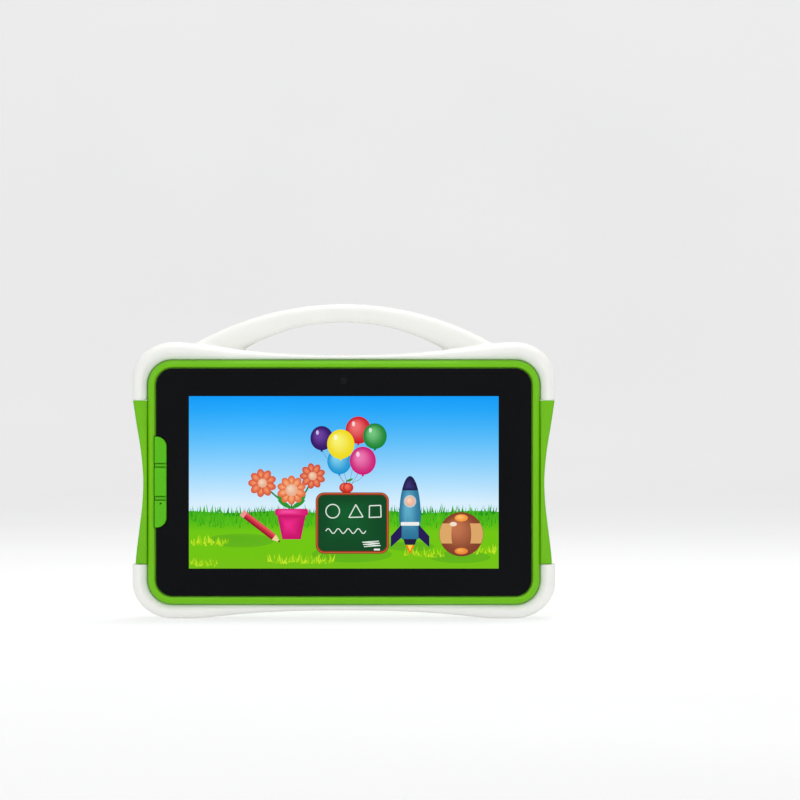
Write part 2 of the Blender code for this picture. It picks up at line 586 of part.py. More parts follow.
def make_keys(green):
    def front(edge):
        return edge.verts[0].co.y < KEY_FRONT + SAME

    def section(name, look, z0, z1, back, place=(0, 0, 0)):
        return prism(name, look, [tab_outline(0, z0, z1)], KEY_FRONT, back, place, KEY_ROUND, front)

    carrier = prism("key_carrier", green, [tab_outline(0)], CARRIER_FRONT, CARRIER_BACK)
    add(carrier, section("microphone_section", None, TAB_Z0, MIC_Z1, CARRIER_BACK))
    cut(carrier, rod("pinhole", None, "Y", PINHOLE_R, -14 * MM, 0, (PINHOLE_X, PINHOLE_Z), 8))
    rocker = section("volume_rocker", green, VOLUME_Z0, TAB_Z1, KEY_BACK, (TAB_X, ROCKER_Y, ROCKER_Z))
    power_z = (POWER_Z0 + POWER_Z1) / 2
    power = section("power_key", green, POWER_Z0, POWER_Z1, KEY_BACK, (TAB_X, KEY_BACK, power_z))
    stems = (
        ("volume_up_switch", rocker, ROCKER_Z + ROCKER_STEM),
        ("volume_down_switch", rocker, ROCKER_Z - ROCKER_STEM),
        ("power_switch", power, power_z),
    )
    black = material("switch_black", (0.02, 0.02, 0.02), 0.5)
    for name, key, z in stems:
        stem = rod(name + "_stem", None, "Y", STEM_R, KEY_BACK - 0.5 * MM, STEM_END, (TAB_X, z), 10)
        add(key, stem)
        cut(carrier, rod(name + "_guide", None, "Y", GUIDE_R, -11 * MM, -8 * MM, (TAB_X, z), 10))
        low = (TAB_X / MM - SWITCH_HALF, SWITCH_FRONT / MM, z / MM - SWITCH_HALF)
        high = (TAB_X / MM + SWITCH_HALF, SWITCH_BACK / MM, z / MM + SWITCH_HALF)
        block(name, black, low, high, 0.2 * MM)
    rod("microphone", black, "Y", 2.0 * MM, -8.3 * MM, -6.4 * MM, (PINHOLE_X, PINHOLE_Z - 1.5 * MM), 16)


# ---------------------------------------------------------------- kickstand


def make_kickstand(green, steel):
    """The round flap hangs in its pocket from two knuckles at its upper edge, on pins in the collar."""
    disc = circle(POCKET_R - GAP, 0, STAND_Z)
    slot = rounded(SLOT_W, SLOT_H, SLOT_H / 2 - 0.01 * MM, 0, SLOT_Z, steps=4)

    def rear_rim(edge):
        middle = (edge.verts[0].co + edge.verts[1].co) / 2
        on_rear = middle.y > FLAP_Y1 - SAME
        return on_rear and math.hypot(middle.x, middle.z - STAND_Z) > POCKET_R - OVERSHOOT

    flap = prism(
        "kickstand", green, [disc, slot], FLAP_Y0, FLAP_Y1, (0, HINGE_Y, HINGE_Z), RIM_ROUND, rear_rim
    )
    for side, sx in (("left", -1), ("right", 1)):
        at = (HINGE_Y, HINGE_Z)
        knuckle = sorted((sx * KNUCKLE_X0, sx * KNUCKLE_X1))
        add(flap, rod("knuckle_" + side, None, "X", KNUCKLE_R, *knuckle, at, 16))
        bore = sorted((sx * (PIN_X0 - GAP), sx * (NOTCH_X + 1 * MM)))
        cut(flap, rod("knuckle_bore_" + side, None, "X", PIN_R + RUNNING_FIT, *bore, at, 12))
        pin = sorted((sx * PIN_X0, sx * PIN_X1))
        rod("kickstand_pin_" + side, steel, "X", PIN_R, *pin, at, 12)


# ---------------------------------------------------------------- assembly

parts, cutters = fresh_scene()
case_green = material("case_green", GREEN, 0.35)
steel = material("steel", (0.45, 0.45, 0.46), 0.35, 1.0)
make_bumpers(material("bumper_white", WHITE, 0.5))
make_grips(material("grip_green", (0.15, 0.48, 0.01), 0.5))
tab_hole = make_bezel(case_green)
make_rear_cover(material("cover_green", (0.25, 0.55, 0.03), 0.4))
make_screws(steel)
make_screen(tab_hole)
make_chassis(material("chassis_metal", (0.5, 0.51, 0.52), 0.4, 1.0))
make_boards()
make_speaker()
make_cameras()
make_ports()
make_keys(material("key_green", (0.1, 0.46, 0.01), 0.35))
make_kickstand(material("stand_green", (0.25, 0.55, 0.03), 0.35), steel)
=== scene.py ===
"""The looks of the children's tablet: finer shells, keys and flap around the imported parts, the picture on
the screen, the materials, the floor, the light and the camera. Shapes are worked out in millimetres."""

import json
import math
import random

import bmesh
import bpy
from mathutils import Matrix, Vector


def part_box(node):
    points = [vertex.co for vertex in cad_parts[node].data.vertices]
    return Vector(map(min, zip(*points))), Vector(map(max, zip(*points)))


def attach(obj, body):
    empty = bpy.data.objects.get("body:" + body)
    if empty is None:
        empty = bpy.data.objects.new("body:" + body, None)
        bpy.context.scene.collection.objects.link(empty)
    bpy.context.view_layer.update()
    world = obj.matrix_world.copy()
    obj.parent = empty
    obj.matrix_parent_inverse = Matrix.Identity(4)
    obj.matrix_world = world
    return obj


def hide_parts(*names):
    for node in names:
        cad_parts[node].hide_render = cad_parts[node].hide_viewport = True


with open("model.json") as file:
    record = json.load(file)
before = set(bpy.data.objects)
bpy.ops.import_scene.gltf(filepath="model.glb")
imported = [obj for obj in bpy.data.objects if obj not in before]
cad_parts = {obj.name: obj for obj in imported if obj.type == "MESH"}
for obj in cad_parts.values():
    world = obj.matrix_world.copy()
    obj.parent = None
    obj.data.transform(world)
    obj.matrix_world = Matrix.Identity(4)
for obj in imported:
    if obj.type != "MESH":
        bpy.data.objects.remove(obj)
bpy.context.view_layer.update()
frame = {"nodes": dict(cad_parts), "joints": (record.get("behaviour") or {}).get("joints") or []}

MM = 0.001
GAP = 0.3


def box(node):
    low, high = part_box(node)
    return low / MM, high / MM


def middle(node):
    low, high = box(node)
    return (low + high) / 2


# Driving sizes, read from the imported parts
bezel_low, bezel_high = box("front_bezel")
PANEL_W, PANEL_H = bezel_high.x - bezel_low.x, bezel_high.z - bezel_low.z
PANEL_Z = (bezel_low.z + bezel_high.z) / 2
PANEL_R = 12.3
SEAM_Y = -7.5
BACK_Y = 9.5
top_low, top_high = box("top_bumper")
bottom_high = box("bottom_bumper")[1]
grip_low, grip_high = box("right_grip")
HALF_WIDTH = top_high.x
PAD_Y = top_high.y
GRIP_BOTTOM, GRIP_TOP, GRIP_Y = grip_low.z, grip_high.z, grip_high.y
INNER_X = PANEL_W / 2 + GAP

# The bumpers' outline
CREST_X, CREST_Z, BRIDGE_Z = 85.0, 137.85, 131.4
CORNER_RX, CORNER_RZ = 20.3, 18.05
FOOT_INNER_X, BELLY_Z = 76.0, 3.9
WAIST_X = 99.9

# The bumpers' section: its reach between and over the corners, its crease, and how far its shoulders fall
BRIDGE_Y, CREASE_Y = 10.4, 8.9
SWELL_X, SWELL_RUN = 50, 32
FRONT_DROP, BACK_DROP = 6.5, 5.5

# The carry handle's two arcs
HANDLE_OUTER_R, HANDLE_OUTER_Z = 151.0, 5.95
HANDLE_INNER_R, HANDLE_INNER_Z = 99.6, 48.2
HANDLE_Y0, HANDLE_Y1 = 1.0, 12.5
HANDLE_REACH = 80.0
HANDLE_STATIONS, HANDLE_POINTS, HANDLE_SQUARENESS = 96, 40, 0.8


# ---------- outlines, as (x, z) points


def arc(cx, cz, rx, rz, start, end, steps):
    turns = [math.radians(start + (end - start) * i / steps) for i in range(steps + 1)]
    return [(cx + rx * math.cos(a), cz + rz * math.sin(a)) for a in turns]


def circle(radius, cx=0.0, cz=0.0, steps=64):
    return arc(cx, cz, radius, radius, 0, 360, steps)[:-1]


def rounded(width, height, radius, cx=0.0, cz=0.0, steps=12):
    points = []
    for sx, sz, start in ((1, 1, 0), (-1, 1, 90), (-1, -1, 180), (1, -1, 270)):
        x, z = cx + sx * (width / 2 - radius), cz + sz * (height / 2 - radius)
        points += arc(x, z, radius, radius, start, start + 90, steps)
    return points


def bezier(p0, p1, p2, p3, steps):
    points = []
    for i in range(steps + 1):
        t = i / steps
        weights = ((1 - t) ** 3, 3 * t * (1 - t) ** 2, 3 * t * t * (1 - t), t**3)
        points.append(tuple(sum(w * p[k] for w, p in zip(weights, (p0, p1, p2, p3))) for k in (0, 1)))
    return points


def line(p0, p1, steps):
    return [tuple(a + (b - a) * i / steps for a, b in zip(p0, p1)) for i in range(steps + 1)]


def smooth(t):
    t = min(max(t, 0.0), 1.0)
    return t * t * (3 - 2 * t)


def curve_through(points, v):
    """The value at v of a smooth curve through (v, value) points, in rising order of v."""
    points = sorted(points)
    slopes = []
    for i in range(len(points)):
        a, b = points[max(i - 1, 0)], points[min(i + 1, len(points) - 1)]
        slopes.append((b[1] - a[1]) / (b[0] - a[0]))
    v = min(max(v, points[0][0]), points[-1][0])
    i = max(k for k in range(len(points) - 1) if points[k][0] <= v)
    (v0, a), (v1, b) = points[i], points[i + 1]
    span, t = v1 - v0, (v - v0) / (v1 - v0)
    h1, h2 = t * t * (3 - 2 * t), t * t * t - t * t
    return a * (1 - h1) + b * h1 + span * (slopes[i] * (t - 2 * t * t + t**3) + slopes[i + 1] * h2)


# ---------- meshes, in millimetres


def mesh_of(verts, faces, name="piece"):
    mesh = bpy.data.meshes.new(name)
    mesh.from_pydata([tuple(v) for v in verts], [], faces)
    shape = bmesh.new()
    shape.from_mesh(mesh)
    bmesh.ops.remove_doubles(shape, verts=shape.verts, dist=1e-4)
    bmesh.ops.recalc_face_normals(shape, faces=shape.faces)
    shape.to_mesh(mesh)
    shape.free()
    return mesh


def joined(meshes):
    shape = bmesh.new()
    for mesh in meshes:
        shape.from_mesh(mesh)
    whole = bpy.data.meshes.new("joined")
    shape.to_mesh(whole)
    shape.free()
    return whole


def ring_faces(count, size, closed):
    """The quads between count rings of size points each. closed joins the last ring to the first."""
    faces = []
    for i in range(count if closed else count - 1):
        a, b = i * size, (i + 1) % count * size
        faces += [(a + j, a + (j + 1) % size, b + (j + 1) % size, b + j) for j in range(size)]
    return faces


def loft(rings, closed=False):
    """A skin over rings of as many (x, y, z) points each: capped at both ends, or closed in a loop."""
    size, count = len(rings[0]), len(rings)
    faces = ring_faces(count, size, closed)
    if not closed:
        faces += [tuple(range(size)), tuple(range((count - 1) * size, count * size))]
    return mesh_of([p for ring in rings for p in ring], faces)


def slab(outline, y0, y1, bevel=None):
    """A plate cut to an outline. bevel is (width, segments, y) for the long rim edges at that y."""
    mesh = loft([[(x, y, z) for x, z in outline] for y in (y0, y1)])
    if not bevel:
        return mesh
    width, segments, rim_y = bevel
    shape = bmesh.new()
    shape.from_mesh(mesh)
    rim = []
    for edge in shape.edges:
        a, b = (v.co.y for v in edge.verts)
        if abs(a - b) < 1e-6 and abs((a + b) / 2 - rim_y) < 1e-4:
            rim.append(edge)
    bmesh.ops.bevel(
        shape, geom=rim, offset=width, segments=segments, profile=0.5, affect="EDGES", clamp_overlap=True
    )
    shape.to_mesh(mesh)
    shape.free()
    return mesh


def brick(low, high):
    outline = [(low[0], low[2]), (high[0], low[2]), (high[0], high[2]), (low[0], high[2])]
    return slab(outline, low[1], high[1])


def turned(profile, cx, cz, steps=64):
    """A body turned about an axis along Y. Its (radius, y) profile closes on itself, or runs from 0 to 0."""
    verts = [(cx + r * math.cos(a), y, cz + r * math.sin(a)) for r, y in profile for a in spread(steps)]
    return mesh_of(verts, ring_faces(len(profile), steps, profile[0][0] != 0))


def spread(steps):
    return [2 * math.pi * j / steps for j in range(steps)]


def rod(axis, radius, start, end, at, steps=32):
    """A cylinder along X or Y. at is its place on the other two axes."""
    ring = [(radius * math.cos(a + 0.1), radius * math.sin(a + 0.1)) for a in spread(steps)]
    if axis == "X":
        return loft([[(x, at[0] + p, at[1] + q) for p, q in ring] for x in (start, end)])
    return loft([[(at[0] + p, y, at[1] + q) for p, q in ring] for y in (start, end)])


def into_scene(name, data):
    obj = bpy.data.objects.new(name, data)
    bpy.context.scene.collection.objects.link(obj)
    return obj


def evaluated(obj):
    """A new mesh with the object's modifiers applied."""
    graph = bpy.context.evaluated_depsgraph_get()
    return bpy.data.meshes.new_from_object(obj.evaluated_get(graph))


def carve(base, *steps):
    """base after Boolean steps, each an operation and a mesh."""
    objects = [into_scene("carve", mesh) for mesh in (base, *(tool for _, tool in steps))]
    for (operation, _), tool in zip(steps, objects[1:]):
        change = objects[0].modifiers.new("step", "BOOLEAN")
        change.operation = operation
        change.solver = "EXACT"
        change.object = tool
    result = evaluated(objects[0])
    for obj in objects:
        bpy.data.objects.remove(obj)
    return result


def blended(mesh, voxel, rounds):
    """The mesh as one skin, with its inner corners filled softly."""
    obj = into_scene("blend", mesh)
    skin = obj.modifiers.new("skin", "REMESH")
    skin.mode = "VOXEL"
    skin.voxel_size = voxel
    soften = obj.modifiers.new("soften", "SMOOTH")
    soften.factor = 0.5
    soften.iterations = rounds
    result = evaluated(obj)
    bpy.data.objects.remove(obj)
    return result


def piece(name, mesh, look, stands_for=(), body="tablet", crease=35):
    """Puts a mesh of millimetres into the scene as a piece that rides on a body."""
    mesh.transform(Matrix.Scale(MM, 4))
    mesh.name = name
    mesh.materials.clear()
    mesh.materials.append(look)
    obj = into_scene(name, mesh)
    mesh.shade_smooth()
    mesh.set_sharp_from_angle(angle=math.radians(crease))
    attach(obj, body)
    if stands_for:
        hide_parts(*stands_for)
    return obj


# ---------- materials

# Sizes of the soft patches in a finish, in metres, and the gloss that the plastics share
TINT_PATCH, FINISH_PATCH, SMEAR_SIZE = 0.03, 0.04, 0.02
ROUGHNESS_STRAY, PLASTIC_SPECULAR, COAT_ROUGHNESS = 0.02, 0.3, 0.18


def tone(red, green, blue):
    """A colour given in sRGB, from 0 to 255, as the linear values that a shader takes."""
    linear = []
    for value in (red / 255, green / 255, blue / 255):
        linear.append(value / 12.92 if value <= 0.04045 else ((value + 0.055) / 1.055) ** 2.4)
    return (*linear, 1.0)


def new_material(name):
    look = bpy.data.materials.new(name)
    look.use_nodes = True
    tree = look.node_tree
    return look, tree, tree.nodes["Principled BSDF"]


def set_inputs(node, values):
    """Gives each named input its value, or links it to another node's output."""
    for name, value in values.items():
        if isinstance(value, bpy.types.NodeSocket):
            node.id_data.links.new(value, node.inputs[name])
        else:
            node.inputs[name].default_value = value


def noise(tree, size, detail=2.0, stretch=(1, 1, 1)):
    """A noise whose features are about size metres across, on the piece's own coordinates."""
    place = tree.nodes.new("ShaderNodeTexCoord")
    mapping = tree.nodes.new("ShaderNodeMapping")
    texture = tree.nodes.new("ShaderNodeTexNoise")
    set_inputs(mapping, {"Scale": stretch, "Vector": place.outputs["Object"]})
    set_inputs(texture, {"Scale": 1 / size, "Detail": detail, "Vector": mapping.outputs["Vector"]})
    return texture.outputs["Fac"]


def ramp(tree, factor, low, high):
    """Two colours, or two numbers as greys, mixed by a factor that stays between about 0.3 and 0.7."""
    node = tree.nodes.new("ShaderNodeValToRGB")
    node.color_ramp.elements[0].position = 0.32
    node.color_ramp.elements[1].position = 0.68
    for element, value in zip(node.color_ramp.elements, (low, high)):
        element.color = value if isinstance(value, tuple) else (value, value, value, 1)
    set_inputs(node, {"Fac": factor})
    return node.outputs["Color"]


def shade(colour, amount):
    return (*(min(c * amount, 1.0) for c in colour[:3]), 1.0)


def moulded(
    name, colour, roughness, grain=0.5, depth=0.02, vary=0.05, coat=0.0, metal=0.0, soft=0.0, bounce=None
):
    """Moulded plastic or rubber, or metal: a fine grain, and patches slightly lighter and duller. grain and
    depth are in millimetres, and vary is how far the colour strays. soft lets light in, tinted by bounce."""
    look, tree, shader = new_material(name)
    tint = ramp(tree, noise(tree, TINT_PATCH), shade(colour, 1 - vary), shade(colour, 1 + vary))
    dullest, glossiest = roughness + ROUGHNESS_STRAY, max(roughness - ROUGHNESS_STRAY, ROUGHNESS_STRAY)
    finish = ramp(tree, noise(tree, FINISH_PATCH, 1.0), glossiest, dullest)
    if soft:
        set_inputs(shader, {"Subsurface Weight": soft, "Subsurface Scale": 0.004})
        set_inputs(shader, {"Subsurface Radius": bounce})
    bump = tree.nodes.new("ShaderNodeBump")
    height = noise(tree, grain * MM, 3.0)
    set_inputs(bump, {"Strength": 0.5, "Distance": depth * MM, "Height": height})
    specular = 0.5 if metal else PLASTIC_SPECULAR
    set_inputs(shader, {"Metallic": metal, "Specular IOR Level": specular, "Normal": bump.outputs["Normal"]})
    set_inputs(shader, {"Coat Weight": coat, "Coat Roughness": COAT_ROUGHNESS})
    set_inputs(shader, {"Base Color": tint, "Roughness": finish})
    return look


def smear(tree, shader):
    """Faint smears on the cover glass, which only the gloss shows."""
    set_inputs(shader, {"Roughness": ramp(tree, noise(tree, SMEAR_SIZE, 5.0, (1, 1, 0.35)), 0.04, 0.11)})


def glass_black():
    """Cover glass with black ink behind it: near black and glossy."""
    look, tree, shader = new_material("cover_glass")
    tint = ramp(tree, noise(tree, 0.05), (0.0022, 0.0024, 0.0034, 1), (0.0034, 0.0036, 0.0048, 1))
    set_inputs(shader, {"Base Color": tint, "IOR": 1.5})
    smear(tree, shader)
    return look


def lit_picture(name, ramped=None):
    """A lit display behind the cover glass. Its colour is the mesh's own tint, or a run of colours by
    height, given as the lowest z, the highest z and (position, colour) stops."""
    look, tree, shader = new_material(name)
    if ramped:
        low_z, high_z, colours = ramped
        place = tree.nodes.new("ShaderNodeTexCoord")
        split = tree.nodes.new("ShaderNodeSeparateXYZ")
        set_inputs(split, {"Vector": place.outputs["Object"]})
        height = tree.nodes.new("ShaderNodeMapRange")
        set_inputs(height, {"From Min": low_z * MM, "From Max": high_z * MM, "Value": split.outputs["Z"]})
        run = tree.nodes.new("ShaderNodeValToRGB")
        elements = run.color_ramp.elements
        while len(elements) < len(colours):
            elements.new(0.5)
        for i, (position, colour) in enumerate(colours):
            elements[i].position = position
            elements[i].color = tone(*colour)
        set_inputs(run, {"Fac": height.outputs["Result"]})
        colour = run.outputs["Color"]
    else:
        attribute = tree.nodes.new("ShaderNodeAttribute")
        attribute.attribute_name = "tint"
        colour = attribute.outputs["Color"]
    backlight = ramp(tree, noise(tree, 0.06), 0.95, 1.0)
    mix = tree.nodes.new("ShaderNodeMix")
    mix.data_type = "RGBA"
    mix.blend_type = "MULTIPLY"
    mix.inputs["Factor"].default_value = 1.0
    tree.links.new(colour, mix.inputs["A"])
    tree.links.new(backlight, mix.inputs["B"])
    tree.links.new(mix.outputs["Result"], shader.inputs["Emission Color"])
    set_inputs(shader, {"Base Color": (0.004, 0.004, 0.005, 1)})
    set_inputs(shader, {"Emission Strength": 1.0, "Specular IOR Level": 0.2})
    smear(tree, shader)
    return look


WHITE_RUBBER = moulded(
    "bumper_rubber", tone(240, 240, 236), 0.5, 0.35, 0.02, 0.012, soft=0.12, bounce=(1.0, 0.9, 0.8)
)
GRIP_RUBBER = moulded(
    "grip_rubber", tone(112, 192, 0), 0.52, 0.35, 0.02, 0.04, soft=0.05, bounce=(0.6, 1.0, 0.2)
)
BEZEL_PLASTIC = moulded("bezel_plastic", tone(114, 196, 0), 0.34, 0.5, 0.003, 0.012, coat=0.25)
KEY_PLASTIC = moulded("key_plastic", tone(86, 190, 0), 0.4, 0.4, 0.004, 0.015)
COVER_PLASTIC = moulded("cover_plastic", tone(136, 202, 42), 0.32, 0.4, 0.004, 0.012, coat=0.5)
STAND_PLASTIC = moulded("stand_plastic", tone(138, 203, 44), 0.32, 0.4, 0.004, 0.012, coat=0.45)
GLASS = glass_black()
CAMERA_BLACK = moulded("camera_black", tone(22, 22, 24), 0.28, 0.3, 0.004, 0.1, coat=0.3)
LENS = moulded("lens_glass", tone(10, 11, 18), 0.05, 2.0, 0.0, 0.2, coat=1.0)
FLASH = moulded("flash_lens", tone(232, 233, 226), 0.2, 0.4, 0.03, 0.03, coat=0.4)
STEEL = moulded("screw_steel", tone(150, 152, 155), 0.34, 0.25, 0.006, 0.06, metal=0.4)
PORT_METAL = moulded("port_metal", tone(176, 178, 182), 0.3, 0.3, 0.005, 0.05, metal=0.6)
BLACK_PLASTIC = moulded("black_plastic", tone(26, 26, 27), 0.5, 0.4, 0.01, 0.1)


# ---------- bumpers, handle and grips


def band_section(width, reach):
    """A bumper's section as (distance from the panel, y). It rises from a crease beside the panel."""
    crest = width / 2
    edge = min(0.3, width / 6)
    section = [(0, -(CREASE_Y - 0.5))]
    for i in range(8):
        rise = (reach - CREASE_Y) * math.sin(math.pi / 2 * i / 7)
        section.append((edge + (crest - edge) * i / 7, -(CREASE_Y + rise)))
    for a in quarter(8):
        section.append((crest + crest * math.sin(a), -(reach - FRONT_DROP * (1 - math.cos(a)))))
    for t in (0.25, 0.5, 0.75):
        section.append((width, -(reach - FRONT_DROP) * (1 - t) + (reach - BACK_DROP) * t))
    for a in quarter(8, False):
        section.append((crest + crest * math.cos(a), reach - BACK_DROP * (1 - math.sin(a))))
    back = CREASE_Y + 0.3
    for i in range(1, 7):
        fall = (reach - back) * math.cos(math.pi / 2 * i / 6)
        section.append((crest - (crest - edge) * i / 6, back + fall))
    return section + [(0, back - 0.5)]


def quarter(steps, skip_first=True):
    return [math.pi / 2 * i / steps for i in range(1 if skip_first else 0, steps + 1)]


def band(inner, outer):
    """A bumper lofted between matching points of its inner and outer outlines."""
    rings = []
    for (x0, z0), (x1, z1) in zip(inner, outer):
        width = math.hypot(x1 - x0, z1 - z0)
        reach = BRIDGE_Y + (PAD_Y - BRIDGE_Y) * smooth((abs(x1) - SWELL_X) / SWELL_RUN)
        ring = []
        for d, y in band_section(width, reach):
            t = d / width
            ring.append((x0 + (x1 - x0) * t, y, z0 + (z1 - z0) * t))
        rings.append(ring)
    return loft(rings)


def outlines(side, middle_run, turn, bend_z, end_z, steps):
    """A bumper's inner and outer outlines from end to end. side is 1 for the top one and -1 for the other,
    middle_run leads from x = 0 to the corner, and turn holds the corner's first and last angle."""
    radius, corner_x = PANEL_R + GAP, PANEL_W / 2 - PANEL_R
    edge_z = PANEL_Z + side * PANEL_H / 2
    corner_z, level = edge_z - side * PANEL_R, edge_z + side * GAP
    outer = middle_run + arc(CREST_X, bend_z, CORNER_RX, CORNER_RZ, *turn, 26)[1:]
    outer += line((HALF_WIDTH, bend_z), (HALF_WIDTH, end_z), steps)[1:]
    inner = [(x * corner_x / CREST_X, level) for x, _ in middle_run]
    inner += arc(corner_x, corner_z, radius, radius, *turn, 26)[1:]
    inner += line((INNER_X, corner_z), (INNER_X, end_z), steps)[1:]
    return [[(-x, z) for x, z in points[:0:-1]] + points for points in (inner, outer)]


def top_outlines():
    bridge = bezier((0, BRIDGE_Z), (55, BRIDGE_Z), (70, CREST_Z), (CREST_X, CREST_Z), 44)
    return outlines(1, bridge, (90, 0), CREST_Z - CORNER_RZ, top_low.z, 10)


def bottom_outlines():
    belly = bezier((0, BELLY_Z), (50, BELLY_Z), (64, 0), (FOOT_INNER_X, 0), 36)
    belly += line((FOOT_INNER_X, 0), (CREST_X, 0), 4)[1:]
    return outlines(-1, belly, (270, 360), CORNER_RZ, bottom_high.z, 8)


def handle():
    """The carry handle: soft-sided, thickest over its roots, which sink into the top bumper."""
    root = PANEL_Z + PANEL_H / 2 + 1.9
    middle_y, half_y = (HANDLE_Y0 + HANDLE_Y1) / 2, (HANDLE_Y1 - HANDLE_Y0) / 2
    rings = []
    for i in range(HANDLE_STATIONS + 1):
        x = HANDLE_REACH * (2 * i / HANDLE_STATIONS - 1)
        top = HANDLE_OUTER_Z + math.sqrt(HANDLE_OUTER_R**2 - x * x)
        low = max(HANDLE_INNER_Z + math.sqrt(HANDLE_INNER_R**2 - x * x), root)
        half_z = (top - low) / 2
        ring = []
        for a in spread(HANDLE_POINTS):
            c, s = math.cos(a), math.sin(a)
            y = middle_y + half_y * math.copysign(abs(c) ** HANDLE_SQUARENESS, c)
            ring.append((x, y, low + half_z + half_z * math.copysign(abs(s) ** HANDLE_SQUARENESS, s)))
        rings.append(ring)
    return loft(rings)


def make_bumpers():
    top = joined([band(*top_outlines()), handle()])
    piece("top_bumper_skin", blended(top, 0.6, 5), WHITE_RUBBER, ["top_bumper"], crease=70)
    bottom = band(*bottom_outlines())
    piece("bottom_bumper_skin", bottom, WHITE_RUBBER, ["bottom_bumper"], crease=50)


def grip_front(z):
    """The waisted outer edge of both grips."""
    edge = [(GRIP_BOTTOM, 103.8), (34, 103.2), (46, 101.7), (57, 100.4), (PANEL_Z, WAIST_X), (77, 100.4)]
    edge += [(86, 101.5), (96, 103.2), (GRIP_TOP, 105.1)]
    return curve_through(edge, z)


def grip_rear(z):
    """The left grip's edge behind its ports: a lip above and below the bay, with a notch beyond each."""
    edge = [(GRIP_BOTTOM, 103.6), (32.6, 103.0), (37, 101.4), (40, 100.1), (42.5, 100.5), (45.3, 101.1)]
    edge += [(50, 100.2), (56, 99.5), (68.1, 99.4), (78, 99.5), (82, 100.1), (85.1, 100.75), (87, 100.2)]
    edge += [(89.1, 100.0), (93.1, 101.95), (100, 103.0), (GRIP_TOP, 104.4)]
    return curve_through(edge, z)


def grip(side):
    """side is 1 on the right and -1 on the left. The left grip's rear half has its own edge."""
    rings = []
    stations, side_steps, reach = 110, 12, GRIP_Y
    step_y, step_run = -5.2, 2.4
    for i in range(stations + 1):
        z = GRIP_BOTTOM + (GRIP_TOP - GRIP_BOTTOM) * i / stations
        front = grip_front(z)
        rear = front if side > 0 else min(grip_rear(z), front)
        radius = min(3.0, 0.7 * (front - INNER_X))
        back_radius = min(3.0, 0.7 * (rear - INNER_X))
        flat, back_flat = front - radius - INNER_X, rear - back_radius - INNER_X
        section = [(INNER_X, -reach + 0.9), (INNER_X + 0.25 * flat, -reach + 0.3)]
        section.append((INNER_X + 0.6 * flat, -reach))
        for a in quarter(6, False):
            section.append((front - radius + radius * math.sin(a), -reach + radius * (1 - math.cos(a))))
        for k in range(1, side_steps):
            y = -reach + radius + (2 * reach - radius - back_radius) * k / side_steps
            section.append((front + (rear - front) * smooth((y - step_y) / step_run), y))
        for a in quarter(6, False):
            x = rear - back_radius + back_radius * math.cos(a)
            section.append((x, reach - back_radius * (1 - math.sin(a))))
        section += [(INNER_X + 0.5 * back_flat, reach), (INNER_X, reach - 0.5)]
        rings.append([(side * x, y, z) for x, y in section])
    return loft(rings)


def port_bay():
    """The bay through the left grip, with its ends rolled outwards."""
    low, high = 46.6, 83.6
    outline = [(-90, low + 1.5), (-98.6, low + 1.2), (-100, low), (-106, low - 3)]
    outline += [(-106, high + 3), (-100, high), (-98.6, high - 1.2), (-90, high - 1.5)]
    return slab(outline, -3.4, 20)


def make_grips():
    piece("right_grip_skin", grip(1), GRIP_RUBBER, ["right_grip"], crease=50)
    left = carve(grip(-1), ("DIFFERENCE", port_bay()))
    piece("left_grip_skin", left, GRIP_RUBBER, ["left_grip"], crease=50)


# ---------- bezel, glass and keys

KEYS_LOW, KEYS_HIGH = box("key_carrier")
TAB_X = (KEYS_LOW.x + KEYS_HIGH.x) / 2
TAB_R = 5.0
KEY_FRONT = KEYS_LOW.y
rocker_low, rocker_high = box("volume_rocker")
power_low, power_high = box("power_key")
MIC_TOP = 58.8
KEY_BACK, KEY_STEM_R, KEY_GUIDE_R, KEY_END_R = -10.55, 0.9, 1.3, 0.9
GLASS_R = 8.2


def tab_outline(z0, z1, grow=0.0):
    """The key tab's D, or a length of it. Only the tab's own two ends are round."""
    low = TAB_R if z0 == KEYS_LOW.z else KEY_END_R
    high = TAB_R if z1 == KEYS_HIGH.z else KEY_END_R
    x0, x1 = KEYS_LOW.x - grow, KEYS_HIGH.x + grow
    z0, z1 = z0 - grow, z1 + grow
    bottom = arc(x1 - low, z0 + low, low, low, 270, 360, 10)
    top = arc(x1 - high, z1 - high, high, high, 0, 90, 10)
    return [(x0, z0), *bottom, *top, (x0, z1)]


def tab_opening():
    return slab(tab_outline(KEYS_LOW.z, KEYS_HIGH.z, GAP), -14, -5)


def screw_places():
    for side in ("left", "right"):
        for end in ("top", "bottom"):
            at = middle(f"cover_screw_{end}_{side}")
            yield f"{end}_{side}", at.x, at.z


def make_bezel():
    """A rounded bead round the glass, with a ledge behind it."""
    profile = [(-0.2, SEAM_Y), (-0.2, -8.6), (-0.05, -9.0), (0.2, -9.5), (0.5, -9.95), (0.9, -10.35)]
    profile += [(1.35, -10.68), (1.8, -10.88), (2.3, -10.97), (2.75, -10.9), (3.15, -10.68), (3.4, -10.35)]
    profile += [(3.55, -9.9), (3.55, -9.0), (8, -9.0), (8, SEAM_Y)]
    rings = []
    for d, y in profile:
        outline = rounded(PANEL_W - 2 * d, PANEL_H - 2 * d, PANEL_R - d, 0, PANEL_Z, 16)
        rings.append([(x, y, z) for x, z in outline])
    bosses = joined([rod("Y", 2.6, SEAM_Y - 1, bezel_high.y, (x, z)) for _, x, z in screw_places()])
    pilots = joined([rod("Y", 1.2, SEAM_Y - 1.2, 2, (x, z), 16) for _, x, z in screw_places()])
    shell = carve(
        loft(rings, closed=True),
        ("UNION", bosses),
        ("DIFFERENCE", pilots),
        ("DIFFERENCE", tab_opening()),
    )
    piece("bezel_skin", shell, BEZEL_PLASTIC, ["front_bezel"])


glass_low, glass_high = box("touch_glass")


